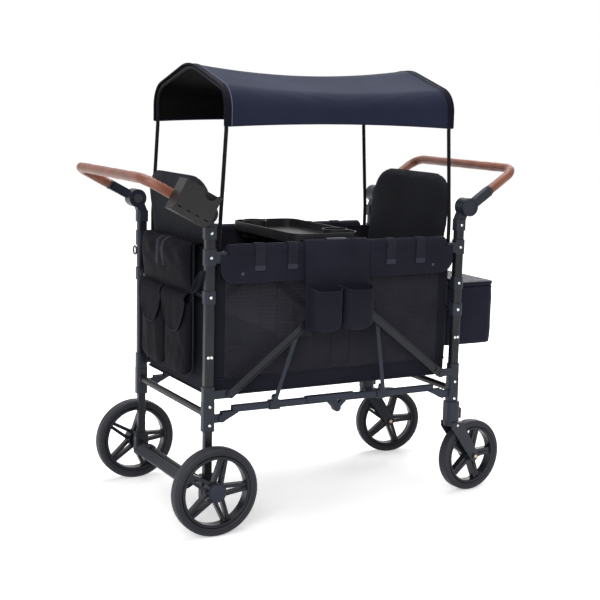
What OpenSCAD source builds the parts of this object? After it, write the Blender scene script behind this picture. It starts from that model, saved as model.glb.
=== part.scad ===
// Folding stroller wagon: two benches that face each other in a fabric basket, slung in a frame of
// four posts that folds flat along its length. X points to the caster end, Y to the left side, Z up.
// The origin is on the floor, under the middle of the wagon.

/* [Posts] */
// Distance between the rear and the front post axes
post_spacing = 900; // [800:10:1000]
// Distance between the left and the right post axes
post_track = 544; // [500:2:600]
// Post size along the wagon
post_w = 30; // [26:1:34]
// Post size across the wagon
post_d = 26; // [24:1:30]
// Corner radius of the post section
post_r = 6; // [4:0.5:8]
// Wall of the post tube
post_wall = 2; // [1.5:0.5:3]
// Height of the lower end of the posts
post_foot_z = 312; // [305:1:325]
// Height of the upper end of the posts
post_top_z = 930; // [900:5:960]
// Wall of the sleeves at the foot of the posts
sleeve_wall = 4; // [3:0.5:6]
// Wall of the brackets on the posts
bracket_wall = 3.3; // [2.5:0.1:4]
// Height of the foot sleeves' upper edge
sleeve_top_z = 398; // [390:1:405]
// Height of the foot sleeves' lower edge
sleeve_foot_z = 310; // [300:1:311]

/* [Cross tubes] */
// Radius of the lower cross tubes
low_tube_r = 11; // [8:0.5:13]
// Height of the lower cross tubes
low_tube_z = 360; // [350:1:370]
// Radius of the upper cross tubes
top_tube_r = 9; // [7:0.5:11]
// Height of the upper cross tubes
top_tube_z = 721; // [700:1:740]
// Height of the bag tube at the front
bag_tube_z = 632; // [600:1:650]
// Height of a tube bracket
tube_bracket_h = 40; // [30:1:50]
// Wall of the cups that hold the tube ends
cup_wall = 3.5; // [2.5:0.5:5]
// Length of the cups that hold the tube ends
cup_len = 9; // [6:1:12]

/* [Fold rails] */
// Distance between the rail pivots at the posts
rail_span = 810; // [720:10:830]
// Height of the rail pivots at the posts
rail_pivot_z = 346; // [335:1:360]
// Height of the middle pivot of the rails
rail_mid_z = 340; // [330:1:350]
// Height of the rail tubes' axis
rail_z = 372; // [365:1:380]
// Height of the rail tube section
rail_h = 22; // [18:1:26]
// Width of the rail tube section
rail_w = 16; // [14:1:20]
// Corner radius of the rail tube section
rail_r = 3; // [2:0.5:5]
// Wall of the rail tubes
rail_wall = 1.8; // [1.2:0.2:3]
// Gap from a post pivot to the rail tube
rail_setback = 36; // [30:1:50]
// Gap from the middle pivot to the rail tube
rail_mid_gap = 14; // [12:1:20]
// Radius of the hinge ears
ear_r = 12; // [9:0.5:14]
// Thickness of the hinge tongues
tongue_t = 13; // [8:0.5:13.4]
// Thickness of the hinge cheeks
cheek_t = 4; // [3:0.5:5]
// Radius of the hinge pins
pin_r = 4; // [3:0.5:6]
// Rear end of the lock sleeve, from the middle pivot
lock_rear = 112; // [80:1:140]
// Front end of the lock sleeve, from the middle pivot
lock_front = 63; // [40:1:90]
// Wall of the lock sleeve
lock_wall = 2.5; // [1.5:0.5:4]
// Place of the rear strut's shoe along the wagon
rear_shoe_x = -225; // [-260:5:-190]
// Place of the front strut's shoe along the wagon
front_shoe_x = 165; // [140:5:260]
// Length of a strut shoe
shoe_l = 34; // [24:1:44]
// Wall of a strut shoe
shoe_wall = 3.4; // [2.5:0.1:4.5]
// Height of the struts' lower pivot
shoe_pivot_z = 396; // [392:1:404]

/* [Fold links] */
// Distance between the diagonal links' lower pivots
link_span = 766; // [740:2:790]
// Height of the diagonal links' lower pivots
link_z = 423; // [415:1:435]
// Height where the diagonal links meet
link_mid_z = 723; // [690:1:735]
// Half width of a diagonal link
link_r = 13; // [10:0.5:16]
// Thickness of a diagonal link
link_t = 6; // [4:0.5:8]
// Width of the channel's flanges
flange_w = 3; // [2:0.5:5]
// Depth of the channel in a link
channel_d = 3.5; // [2:0.5:4]
// Distance from a link's pivots to its channel
channel_end = 34; // [28:1:60]
// Height of the link collars on the posts
link_collar_h = 50; // [36:1:56]
// Distance along the rear link to its strut
rear_strut_at = 293; // [250:1:330]
// Distance along the front link to its strut
front_strut_at = 316; // [250:1:340]
// Half width of a strut
strut_r = 7; // [5:0.5:9]
// Thickness of a strut
strut_t = 2.6; // [2:0.1:3]

/* [Knuckles and handles] */
// How far the knuckles stand outboard of the posts
knuckle_out = 19; // [12:1:30]
// Height of the handle pivots
knuckle_z = 973; // [960:1:1000]
// Radius of the knuckle drums
knuckle_r = 30; // [27:1:36]
// Width of the fixed half of a knuckle
hub_w = 26; // [22:1:30]
// Height of the hub collars' lower edge
hub_foot_z = 895; // [880:1:900]
// Height of the hub collars
hub_collar_h = 37; // [25:1:40]
// Radius of the knuckle pin
knuckle_pin_r = 8; // [6:0.5:10]
// Width of the turning half of a knuckle
arm_w = 21.4; // [20:0.2:26]
// Half height of a handle arm
arm_r = 15; // [13:0.5:18]
// Length of a handle arm from its pivot
arm_l = 92; // [80:1:110]
// Reach of the handle from its pivot
handle_reach = 222; // [190:1:250]
// Rise of the rear handle above level, in degrees
rear_rise = 28; // [10:1:40]
// Rise of the front handle above level, in degrees
front_rise = 34; // [10:1:40]
// Bend radius of the handles
handle_bend = 48; // [40:1:70]
// Radius of the handle tube
handle_tube_r = 10; // [8:0.5:10]
// Length of the tube held in an arm
handle_hold = 36; // [25:1:40]
// Outer radius of the grips
grip_r = 15.5; // [13:0.5:18]
// Radius of the dished cap on a knuckle
cap_r = 24; // [18:1:28]
// Depth of the dished cap
cap_depth = 2; // [1:0.5:2.5]
// Radius of the release buttons
button_r = 15; // [11:0.5:18]
// How far the release buttons stand out
button_out = 4; // [3:0.5:5]
// Length of the release buttons
button_l = 11; // [9:0.5:12]
// Depth of the button sockets
button_socket = 12; // [11:0.5:14]

/* [Canopy] */
// Distance between the canopy rods at their sockets
rod_span = 828; // [800:2:840]
// Distance between the canopy hoops at the hem
hoop_span = 796; // [760:2:820]
// Distance across a hoop
hoop_w = 530; // [500:2:540]
// Radius of the hoop rods
rod_r = 6; // [5:0.5:8]
// Height of the rods' lower ends
rod_foot_z = 768; // [750:1:780]
// Height where the rods start to lean
rod_lean_z = 930; // [920:1:960]
// Height where the rods stand upright again
rod_up_z = 1215; // [1180:1:1225]
// Bend radius where the rods lean
rod_bend = 80; // [60:5:120]
// Height of the hoops' peak
peak_z = 1402; // [1380:1:1440]
// Slope of the roof, in degrees
roof_slope = 17; // [10:1:24]
// Bend radius of the hoops' shoulders
shoulder_r = 70; // [50:2:90]
// Bend radius of the hoops' ridge
ridge_r = 180; // [120:5:240]
// Height of the cover's hem
hem_z = 1228; // [1210:1:1260]
// Thickness of the cover
cover_t = 3; // [2:0.5:5]
// Overhang of the cover past the hoops
cover_over = 9; // [8:1:20]
// Sag of the ridge between the hoops
ridge_sag = 26; // [0:1:40]
// Rise of the hem between the hoops
hem_rise = 10; // [0:1:20]

/* [Rear wheels] */
// Radius of the rear wheels
rear_r = 137; // [120:1:145]
// Width of the rear tyres
rear_tyre_w = 42; // [36:1:48]
// Thickness of the rear tyres
rear_tyre_t = 25; // [20:1:32]
// Distance from a post axis to its rear wheel's middle
rear_wheel_out = 58; // [54:1:66]
// Depth of the rear rims' ring
rear_ring_t = 10; // [8:1:14]
// Radius of the rear hubs
rear_hub_r = 30; // [24:1:34]
// Number of forked spokes
spoke_n = 5; // [4:1:7]
// Half width of a spoke
spoke_r = 5.5; // [4:0.5:7]
// Thickness of the spokes along the axle
spoke_t = 20; // [12:1:26]
// Offset of a spoke's two arms at the hub, as a share of the hub's radius
fork_share = 0.42; // [0.3:0.02:0.5]
// Half angle between a spoke's two arms at the ring, in degrees
fork_angle = 3.5; // [2.5:0.5:6]
// Radius of the rear axle tube
axle_r = 9; // [7:0.5:10]
// Radius of the rear wheel spindles
spindle_r = 6; // [5:0.5:7]
// Size of the axle blocks along the wagon
axle_block_w = 46; // [40:1:54]
// Size of the axle blocks across the wagon
axle_block_d = 30; // [28:1:36]
// Height of the axle blocks
axle_block_h = 74; // [60:1:84]

/* [Brake] */
// Width of the brake pedal
brake_w = 440; // [300:10:460]
// Reach of the brake pedal from the axle
brake_reach = 40; // [34:1:60]
// Drop of the brake pedal's edge below the axle
brake_drop = 12; // [6:1:20]
// Half thickness of the brake pedal
brake_r = 6; // [5:0.5:7]
// Distance of the brake arms from the middle
brake_arm_y = 180; // [120:5:200]
// Width of a brake arm
brake_arm_w = 22; // [16:1:30]
// Wall of the brake arms round the axle
brake_ring = 5; // [4:0.5:7]

/* [Casters] */
// Radius of the front wheels
front_r = 121; // [105:1:124]
// Width of the front tyres
front_tyre_w = 40; // [32:1:44]
// Thickness of the front tyres
front_tyre_t = 23; // [18:1:28]
// Depth of the front rims' ring
front_ring_t = 9; // [7:1:12]
// Radius of the front hubs
front_hub_r = 20; // [17:1:24]
// Trail of the casters
caster_trail = 88; // [70:1:100]
// Turn of the right caster as it stands, in degrees
right_turn = 6; // [-30:1:30]
// Turn of the left caster as it stands, in degrees
left_turn = -12; // [-30:1:30]
// Size of the caster barrel
barrel_w = 46; // [42:1:54]
// Height of the barrel's lower edge
barrel_z = 252; // [248:1:262]
// How far the barrel laps the foot sleeve
barrel_lap = 8; // [4:1:12]
// Radius of the caster stem
stem_r = 8; // [6:0.5:10]
// Depth of the stem socket
stem_l = 40; // [30:1:46]
// Radius of the fork crown
crown_r = 24; // [20:1:26]
// Thickness of the fork crown
crown_t = 17; // [12:1:18]
// Thickness of a fork blade
blade_t = 5; // [4:0.5:7]
// Half width of a fork blade at the axle
blade_r = 17; // [13:1:20]
// Radius of the caster axle bolts
bolt_r = 5; // [4:0.5:7]
// Travel of the swivel lock tabs
lock_travel = 7; // [4:0.5:8]
// Width of a swivel lock tab
tab_w = 18; // [12:1:24]
// Thickness of a swivel lock tab
tab_t = 9; // [6:0.5:12]
// Height of a swivel lock tab
tab_h = 32; // [24:1:40]

/* [Basket] */
// Length of the basket
basket_l = 868; // [780:2:868]
// Height of the basket's floor
basket_z = 400; // [398:1:420]
// Height of the basket's rim
rim_z = 862; // [840:1:870]
// Thickness of the basket's walls
basket_wall = 4; // [3:0.5:6]
// Corner radius of the basket
basket_r = 24; // [10:1:40]
// Radius of the padded side rails
pad_r = 19; // [16:0.5:19]
// Height of the padded side rails' axis
pad_z = 859; // [850:1:865]
// Height of the side flaps' lower edge
flap_z = 762; // [745:1:780]
// Length of the side flaps
flap_l = 836; // [780:2:850]
// Thickness of the side flaps
flap_t = 3; // [2:0.5:4]
// Width of the side straps
strap_w = 34; // [20:1:40]
// Thickness of the side straps
strap_t = 2; // [1:0.5:3]
// Distance of the inner straps from the middle
strap_in_x = 178; // [150:1:200]
// Distance of the outer straps from the middle
strap_out_x = 290; // [260:1:330]
// Height of the straps' lower ends
strap_z = 796; // [785:1:820]

/* [Seats] */
// Width of the seat backs
back_w = 480; // [440:2:496]
// Depth of a seat pad
seat_l = 256; // [220:2:280]
// Width of the seats
seat_w = 478; // [420:2:484]
// Height of the seat pads' underside
seat_z = 548; // [520:1:570]
// Thickness of a seat pad at its seam
seat_edge = 18; // [12:1:24]
// Crown of a seat pad
seat_crown = 34; // [20:1:40]
// How far a cushion's sides draw in
draw_in = 6; // [0:1:10]
// Wall of the fabric box under a seat
seat_wall = 5; // [3:0.5:8]
// Height of the seat backs' lower edge
back_z = 612; // [606:1:630]
// Height of the seat backs' top
back_top_z = 1080; // [1040:1:1100]
// Drop of the seat backs' top corners
back_drop = 78; // [40:1:110]
// Thickness of a seat back at its seam
back_edge = 16; // [10:1:20]
// Crown of a seat back
back_crown = 24; // [12:1:30]
// Lean of the seat backs, in degrees
back_lean = 7; // [3:0.5:8]

/* [Bags] */
// Width of the organiser
organiser_w = 226; // [200:2:250]
// Middle of the organiser along the wagon
organiser_x = -25; // [-40:1:20]
// Thickness of the organiser's cloth
organiser_t = 3; // [2:0.5:4]
// Height of the organiser's lower edge
organiser_z = 597; // [570:1:620]
// Height of the pockets' mouths
pocket_top_z = 740; // [725:1:744]
// Rise of the organiser's knee above its pockets and the links
knee_rise = 14; // [10:1:24]
// Depth of the pockets
pocket_d = 57; // [50:1:60]
// Corner radius of the pockets
pocket_r = 22; // [12:1:28]
// Width of the rear bag
pouch_w = 384; // [340:2:420]
// Depth of the rear bag
pouch_d = 24; // [18:1:40]
// Height of the rear bag's lower edge
pouch_z = 455; // [440:1:480]
// Height of the rear bag's mouth
pouch_top_z = 690; // [660:1:695]
// Thickness of the rear bag's cloth
pouch_t = 4; // [3:0.5:6]
// Height of the rear panel's top
panel_top_z = 872; // [868:1:880]
// Width of the cooler
cooler_w = 384; // [340:2:420]
// Depth of the cooler
cooler_d = 204; // [160:2:214]
// Height of the cooler's lower edge
cooler_z = 487; // [480:1:520]
// Height of the cooler's body
cooler_h = 203; // [180:1:205]
// Wall of the cooler
cooler_wall = 8; // [5:0.5:12]
// Thickness of the cooler's lid
lid_t = 18; // [12:1:24]
// Width of the cooler's hanging straps
hanger_w = 40; // [25:1:50]
// Distance of the hanging straps from the middle
hanger_y = 140; // [100:5:150]
// Thickness of the hanging straps
hanger_t = 2.5; // [1.5:0.5:3]

/* [Console and tray] */
// Start of the console along the handle arm
console_u = 12; // [5:1:20]
// Length of the console along the handle arm
console_l = 124; // [110:1:136]
// Depth of the console
console_d = 58; // [50:1:60]
// Height of the console
console_h = 98; // [90:1:110]
// Drop of the console below the arm's axis
console_drop = 46; // [40:1:54]
// Wall of the console
console_wall = 3; // [2:0.5:4]
// Length of the console's cup bay
cup_bay_l = 48; // [40:1:64]
// Width of the chamfer along the console's foot
console_foot = 13; // [8:1:18]
// Length of a drain slot in the console's front
drain_l = 13; // [8:1:18]
// Height of a drain slot
drain_h = 3; // [2:0.5:5]
// Length of the snack tray
tray_l = 240; // [220:2:260]
// Middle of the snack tray along the wagon
tray_x = -22; // [-40:1:20]
// Width of the snack tray
tray_w = 468; // [420:2:474]
// Depth of the snack tray
tray_h = 30; // [22:1:40]
// Wall of the snack tray
tray_wall = 3; // [2:0.5:4]
// Corner radius of the snack tray
tray_r = 44; // [20:1:60]
// Bore radius of the tray's cup rings
cup_r = 38; // [34:1:42]
// Depth of the cup wells below the tray's floor
cup_drop = 24; // [10:1:40]
// Rise of the cup rings above the tray's rim
cup_rise = 5; // [2:1:10]
// Distance of a cup ring from the middle, along the wagon
cup_x = 62; // [50:1:70]
// Distance of a cup ring from the middle, across the wagon
cup_y = 165; // [140:1:170]
// Width of the tray clips
clip_w = 70; // [40:1:90]
// Thickness of the tray clips
clip_t = 3.5; // [2.5:0.5:5]
// Height of the tray clips' ledge
ledge_z = 866; // [862:1:870]
// Length of the tray clips' ledge
ledge_l = 26; // [20:1:30]

/* [Rivets] */
// Radius of the rivet heads
rivet_r = 5; // [3:0.5:7]
// Height of the rivet heads
rivet_h = 1.8; // [1:0.1:2.5]
// Distance from a rivet head to the edge of its sleeve
rivet_edge = 6; // [3:0.5:10]
// Drop of the paired rivets below the middle of a post
rivet_pair_drop = 34; // [20:1:50]
// Drop of the upper rivet below the basket's rim
rivet_rim_drop = 22; // [15:1:30]

/* [Fits] */
// Gap between pieces that are fixed together
fit = 0.2; // [0.1:0.05:0.3]
// Radial gap round a pin that turns
turn_fit = 0.1; // [0.05:0.01:0.1]
// Gap between faces that slide past each other
slide_fit = 0.4; // [0.3:0.05:0.6]
// Gap from cloth to its neighbours
cloth_fit = 0.5; // [0.3:0.1:0.9]

/* [Hidden] */
$fn = 48;

post_x = post_spacing / 2;
post_y = post_track / 2;
post_face = post_y + post_d / 2;
post_inner = post_y - post_d / 2;
// How a bent tube's straight runs lap its bends
bend_lap = 2;
bend_step = 0.06;
// Planes across the wagon, from the posts outwards
arm_y = post_face + fit;
rear_link_y = post_face + bracket_wall + slide_fit;
front_link_y = rear_link_y + link_t + slide_fit;
strut_y = rear_link_y - slide_fit - strut_t;
// Hinge points of the fold, in x and z
rail_pivot = [-rail_span / 2, rail_pivot_z];
rail_mid = [0, rail_mid_z];
link_pivot = [-link_span / 2, link_z];
link_mid = [0, link_mid_z];
link_slope = atan2(link_mid_z - link_z, link_span / 2);
rear_strut_top = link_pivot + rear_strut_at * [cos(link_slope), sin(link_slope)];
front_strut_top = link_pivot + front_strut_at * [cos(link_slope), sin(link_slope)];
// Rail fittings
cheek_in = tongue_t / 2 + slide_fit;
cheek_out = cheek_in + cheek_t;
rail_low = rail_z - rail_h / 2;
rail_top = rail_z + rail_h / 2;
cheek_top = rail_low + 5;
shoe_face = strut_y - slide_fit;
// Knuckles and handles
knuckle_x = post_x + knuckle_out;
hub_y = post_face - 1 - hub_w;
hub_face = hub_y + hub_w;
drum_y = hub_face + slide_fit;
arm_face = drum_y + arm_w;
arm_mid = drum_y + arm_w / 2;
tube_start = arm_l - handle_hold;
handle_cross = 2 * (arm_mid - handle_bend);
// Canopy
rod_x = rod_span / 2;
hoop_x = hoop_span / 2;
hoop_y = hoop_w / 2;
ridge_z = peak_z - ridge_r;
shoulder_y = hoop_y - shoulder_r;
roof_dy = shoulder_y + (shoulder_r - ridge_r) * sin(roof_slope);
roof_run = roof_dy / cos(roof_slope);
shoulder_z = ridge_z + (ridge_r - shoulder_r) * cos(roof_slope) - roof_dy * tan(roof_slope);
rod_shift = rod_x - hoop_x;
rod_drop = rod_up_z - rod_lean_z;
rod_lean = atan(rod_shift / rod_drop);
lean_run = rod_bend * tan(rod_lean / 2);
// Wheels
rear_wheel_y = post_y + rear_wheel_out;
front_half = front_tyre_w / 2 + 4;
blade_y = front_half + 1;
crown_z = barrel_z - slide_fit;
tab_x = barrel_w / 2 + slide_fit;
tab_z = barrel_z + lock_travel + 4;
// Basket and what hangs on it
end_wall_x = basket_l / 2;
side_wall_y = post_y - pad_r - cloth_fit;
socket_wall = 5;
socket_h = 34;
socket_x = rod_x - rod_r - 2 * socket_wall;
pad_l = 2 * (socket_x - cloth_fit);
clip_r = post_y - side_wall_y + basket_wall + cloth_fit;
strap_y = post_y + pad_r + slide_fit;
flap_y = strap_y - slide_fit - flap_t;
flap_top_z = pad_z - sqrt(pow(pad_r, 2) - pow(flap_y - post_y, 2)) - cloth_fit;
back_x = end_wall_x - basket_wall - cloth_fit - corner_gap(back_w / 2 - draw_in);
seat_x = end_wall_x - basket_wall - cloth_fit - corner_gap(seat_w / 2);
panel_x = post_x + top_tube_r + cup_wall + cloth_fit;
pouch_x = panel_x + pouch_t;
organiser_y = front_link_y + link_t + 3;
pocket_w = organiser_w / 2 - 2;
cooler_x = post_x + top_tube_r + cup_wall + 3;
tray_z = ledge_z + fit;

// Children on the left, and their mirror image on the right
module both_sides() {
  children();
  mirror([0, 1, 0]) children();
}

// Children carried from the rear end to the front end
module at_front() mirror([1, 0, 0]) children();

// Children carried from the left side to the right side
module at_right() mirror([0, 1, 0]) children();

// Rectangle with round corners, its middle at the origin
module rounded(w, d, r) {
  square([w - 2 * r, d], center = true);
  square([w, d - 2 * r], center = true);
  for (x = [-1, 1], y = [-1, 1])
    translate([x * (w / 2 - r), y * (d / 2 - r)]) circle(r);
}

// Bar with round ends between two points
module bar(p, q, r) {
  d = q - p;
  translate(p) rotate(atan2(d.y, d.x)) {
    circle(r);
    translate([norm(d), 0]) circle(r);
    translate([0, -r]) square([norm(d), 2 * r]);
  }
}

// Outline in x and z, given a thickness from y upwards
module slab(y, t) translate([0, y + t, 0]) rotate([90, 0, 0]) linear_extrude(t) children();

// Outline in y and z, given a length from x upwards
module beam(x, l) translate([x, 0, 0]) rotate([90, 0, 90]) linear_extrude(l) children();

// Round pin across the wagon, at p in x and z
module pin(p, y0, y1, r) translate([p.x, y0, p.y]) rotate([-90, 0, 0]) cylinder(h = y1 - y0, r = r);

// Tube that starts along +X and bends to the left: each run is its length, turn and bend radius.
// Where a bend is no quarter turn, the straight runs lap the bends, which are a hair thinner.
module tube_path(runs, r, lap = bend_lap, step = bend_step, i = 0) {
  if (i < len(runs)) {
    run = runs[i][0];
    turn = runs[i][1];
    bend = runs[i][2];
    roll = turn < 0 ? 180 : 0;
    lap_in = i > 0 ? lap : 0;
    lap_out = turn != 0 ? lap : 0;
    translate([-lap_in, 0, 0]) rotate([0, 90, 0]) cylinder(h = run + lap_in + lap_out, r = r);
    translate([run, 0, 0]) rotate([roll, 0, 0]) {
      if (turn != 0)
        translate([0, bend, 0]) rotate([0, 0, -90]) rotate_extrude(angle = abs(turn))
          translate([bend, 0]) circle(r - step);
      translate([bend * sin(abs(turn)), bend * (1 - cos(turn)), 0]) rotate([0, 0, abs(turn)])
        rotate([-roll, 0, 0]) tube_path(runs, r, lap, step, i + 1);
    }
  }
}

// Section of a post, grown by a gap
module post_section(gap) rounded(post_w + 2 * gap, post_d + 2 * gap, post_r + gap);

// Block round the rear left post
module post_block(z, h, wall) translate([-post_x, post_y, z]) linear_extrude(h) post_section(wall);

// Room for the rear left post
module post_room(z, h) translate([-post_x, post_y, z]) linear_extrude(h) post_section(fit);

// Cup on the inner side of the rear left post, for a cross tube's end
module cup(z, r, wall)
  pin([-post_x, z], post_inner - wall - cup_len, post_inner - fit, r + fit + cup_wall);

// Room for a cross tube's end in its cup
module cup_room(z, r, wall)
  pin([-post_x, z], post_inner - wall - cup_len - 1, post_inner - wall, r + fit);

// Closed skin between two grids of points, the first one outside
module closed_pair(top, under) {
  n = len(top);
  m = len(top[0]);
  points = [for (grid = [top, under], row = grid, p = row) p];
  function t(i, j) = i * m + j;
  function u(i, j) = n * m + i * m + j;
  faces = [
    for (i = [0 : n - 2], j = [0 : m - 2]) each [
      [t(i, j), t(i, j + 1), t(i + 1, j + 1)], [t(i, j), t(i + 1, j + 1), t(i + 1, j)],
      [u(i, j), u(i + 1, j + 1), u(i, j + 1)], [u(i, j), u(i + 1, j), u(i + 1, j + 1)]
    ],
    for (i = [0 : n - 2]) each [
      [u(i, 0), t(i, 0), t(i + 1, 0)], [u(i, 0), t(i + 1, 0), u(i + 1, 0)],
      [u(i, m - 1), t(i + 1, m - 1), t(i, m - 1)],
      [u(i, m - 1), u(i + 1, m - 1), t(i + 1, m - 1)]
    ],
    for (j = [0 : m - 2]) each [
      [u(0, j + 1), t(0, j + 1), t(0, j)], [u(0, j + 1), t(0, j), u(0, j)],
      [u(n - 1, j + 1), t(n - 1, j), t(n - 1, j + 1)],
      [u(n - 1, j + 1), u(n - 1, j), t(n - 1, j)]
    ]
  ];
  polyhedron(points, faces);
}

// Posts, legs and sleeves
module posts() both_sides() translate([-post_x, post_y, post_foot_z])
  linear_extrude(post_top_z - post_foot_z) difference() {
    post_section(0);
    post_section(-post_wall);
  }

module rear_posts() color("#22242a") posts();

module front_posts() color("#22242a") at_front() posts();

// Foot sleeve on the rear left post, with the tongue that carries a bottom rail
module foot_sleeve() {
  post_block(sleeve_foot_z, sleeve_top_z - sleeve_foot_z, sleeve_wall);
  slab(post_y - tongue_t / 2, tongue_t) bar([-post_x, rail_pivot_z], rail_pivot, ear_r);
  cup(low_tube_z, low_tube_r, sleeve_wall);
}

// Holes in a foot sleeve: the post, the rail's pin and the cross tube
module foot_holes() {
  post_room(post_foot_z - fit, sleeve_top_z - post_foot_z + 1);
  pin(rail_pivot, post_y - tongue_t, post_y + tongue_t, pin_r + turn_fit);
  cup_room(low_tube_z, low_tube_r, sleeve_wall);
}

module rear_leg_sleeves() color("#2b2d33") both_sides() difference() {
  foot_sleeve();
  foot_holes();
  translate([-post_x, post_y, sleeve_foot_z - 1]) linear_extrude(post_foot_z) post_section(fit - post_wall);
}

// Legs that slide into the rear posts and carry the axle blocks
module rear_legs() color("#1f2126") both_sides() {
  block_top = rear_r + axle_block_h / 2;
  translate([-post_x, post_y, block_top])
    linear_extrude(post_foot_z + 30 - block_top) post_section(-post_wall - fit);
  difference() {
    translate([-post_x, post_y, rear_r - axle_block_h / 2])
      linear_extrude(axle_block_h) rounded(axle_block_w, axle_block_d, post_r);
    pin([-post_x, rear_r], post_y - axle_block_d, post_y + axle_block_d, axle_r + fit);
  }
}

// Cross tube between the rear posts, its ends in their cups
module cross_tube(z, r, wall) {
  half = post_inner - wall - fit;
  pin([-post_x, z], -half, half, r);
}

module rear_cross_tubes() color("#22242a") {
  cross_tube(low_tube_z, low_tube_r, sleeve_wall);
  cross_tube(top_tube_z, top_tube_r, bracket_wall);
}

module front_cross_tubes() color("#22242a") at_front() {
  cross_tube(low_tube_z, low_tube_r, sleeve_wall);
  cross_tube(top_tube_z, top_tube_r, bracket_wall);
  cross_tube(bag_tube_z, top_tube_r, bracket_wall);
}

// Brackets on the posts: link collar, tube brackets, and the socket for a canopy rod
module link_collar(link_y) {
  difference() {
    union() {
      post_block(link_z - link_collar_h / 2, link_collar_h, bracket_wall);
      slab(arm_y, bracket_wall - fit) bar([-post_x, link_z], link_pivot, link_r);
    }
    post_room(link_z - link_collar_h, 2 * link_collar_h);
  }
  pin(link_pivot, arm_y + fit, link_y + link_t + slide_fit, pin_r);
  pin(link_pivot, arm_y + fit, link_y - slide_fit, pin_r + 3);
  pin(link_pivot, link_y + link_t + slide_fit, link_y + link_t + slide_fit + rivet_h, pin_r + 3);
}

module tube_bracket(z) difference() {
  union() {
    post_block(z - tube_bracket_h / 2, tube_bracket_h, bracket_wall);
    cup(z, top_tube_r, bracket_wall);
  }
  post_room(z - tube_bracket_h, 2 * tube_bracket_h);
  cup_room(z, top_tube_r, bracket_wall);
}

module rod_socket() {
  z = rim_z - socket_h - socket_wall;
  block_in = hoop_y - rod_r - socket_wall - fit;
  difference() {
    union() {
      post_block(z - 6, socket_h + 14, bracket_wall);
      translate([-post_x, block_in, z])
        cube([post_x - socket_x, post_face - block_in, socket_h]);
    }
    post_room(z - socket_h, 3 * socket_h);
    translate([-rod_x, hoop_y, z - 1]) cylinder(h = socket_h + 2, r = rod_r + turn_fit);
  }
}

module rear_post_brackets() color("#2b2d33") both_sides() {
  link_collar(rear_link_y);
  tube_bracket(top_tube_z);
  rod_socket();
}

module front_post_brackets() color("#2b2d33") at_front() both_sides() {
  link_collar(front_link_y);
  tube_bracket(top_tube_z);
  tube_bracket(bag_tube_z);
  rod_socket();
}

// Fixed halves of the handle knuckles, each on its post, with the pin and the button's socket
module knuckle_hubs() both_sides() difference() {
  union() {
    post_block(hub_foot_z, hub_collar_h, sleeve_wall);
    slab(hub_y, hub_w)
      bar([-post_x, hub_foot_z + hub_collar_h - 5], [-knuckle_x, knuckle_z], post_w / 2);
    pin([-knuckle_x, knuckle_z], hub_y, hub_face, knuckle_r);
    pin([-knuckle_x, knuckle_z], hub_face - 1, arm_face - cap_depth - 1, knuckle_pin_r);
  }
  post_room(hub_foot_z - 1, post_top_z - hub_foot_z + 1 + fit);
  pin([-knuckle_x, knuckle_z], hub_y - 1, hub_y + button_socket, button_r + slide_fit);
}

module rear_knuckle_hubs() color("#2b2d33") knuckle_hubs();

module front_knuckle_hubs() color("#2b2d33") at_front() knuckle_hubs();

// Rivet head on an outer face, at p in x and z
module rivet(p, face)
  translate([p.x, face, p.y]) rotate([-90, 0, 0]) cylinder(h = rivet_h, r1 = rivet_r, r2 = rivet_r * 0.6);

module post_rivets() both_sides() {
  for (z = [sleeve_foot_z + barrel_lap + rivet_r + rivet_edge, sleeve_top_z - rivet_r - rivet_edge])
    rivet([-post_x, z], post_face + sleeve_wall);
  rivet([-post_x, top_tube_z], post_face + bracket_wall);
  rivet([-post_x, hub_foot_z + hub_collar_h / 2], post_face + sleeve_wall);
  rivet([-post_x, rim_z - rivet_rim_drop], post_face + bracket_wall);
  for (dx = [-rivet_r - 0.5, rivet_r + 0.5])
    rivet([-post_x + dx, (top_tube_z + link_z) / 2 - rivet_pair_drop], post_face);
}

module rear_rivets() color("#c9ccd1") post_rivets();

module front_rivets() color("#c9ccd1") at_front() {
  post_rivets();
  both_sides() rivet([-post_x, bag_tube_z], post_face + bracket_wall);
}

// Bottom rails: a tube with hinge cheeks or a tongue at its ends
module rail_tube(x0, x1) difference() {
  beam(x0, x1 - x0) translate([post_y, rail_z]) rounded(rail_w, rail_h, rail_r);
  beam(x0 - 1, x1 - x0 + 2) translate([post_y, rail_z])
    rounded(rail_w - 2 * rail_wall, rail_h - 2 * rail_wall, rail_r - rail_wall / 2);
}

// Pair of hinge cheeks from a pivot up to the rail tube that starts at x, with their pin
module cheeks(pivot, x) {
  step = x > pivot.x ? 1 : -1;
  for (y = [cheek_in, -cheek_out])
    slab(post_y + y, cheek_t) {
      translate(pivot) circle(ear_r);
      polygon([
        pivot + [0, -ear_r], [x + step * 18, rail_low], [x + step * 18, cheek_top],
        [pivot.x, cheek_top]
      ]);
    }
  pin(pivot, post_y - cheek_out, post_y + cheek_out, pin_r);
}

// Hinge tongue from a pivot up into the rail tube that starts at x
module tongue(pivot, x) difference() {
  slab(post_y - tongue_t / 2, tongue_t) {
    translate(pivot) circle(ear_r);
    polygon([
      pivot + [0, -ear_r], [x + 18, rail_low - 2], [x + 18, rail_low + rail_wall],
      [x, rail_low + rail_wall], pivot + [0, ear_r]
    ]);
  }
  pin(pivot, post_y - tongue_t, post_y + tongue_t, pin_r + turn_fit);
}

// Channel that laps both rails at the middle and keeps them in line when open
module lock_sleeve() difference() {
  inner_w = rail_w + 2 * slide_fit;
  foot = cheek_top + slide_fit;
  beam(-lock_rear, lock_rear + lock_front) translate([post_y - inner_w / 2 - lock_wall, foot])
    square([inner_w + 2 * lock_wall, rail_top + slide_fit + lock_wall - foot]);
  beam(-lock_rear - 1, lock_rear + lock_front + 2) translate([post_y - inner_w / 2, rail_low])
    square([inner_w, rail_h + slide_fit]);
}

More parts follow.
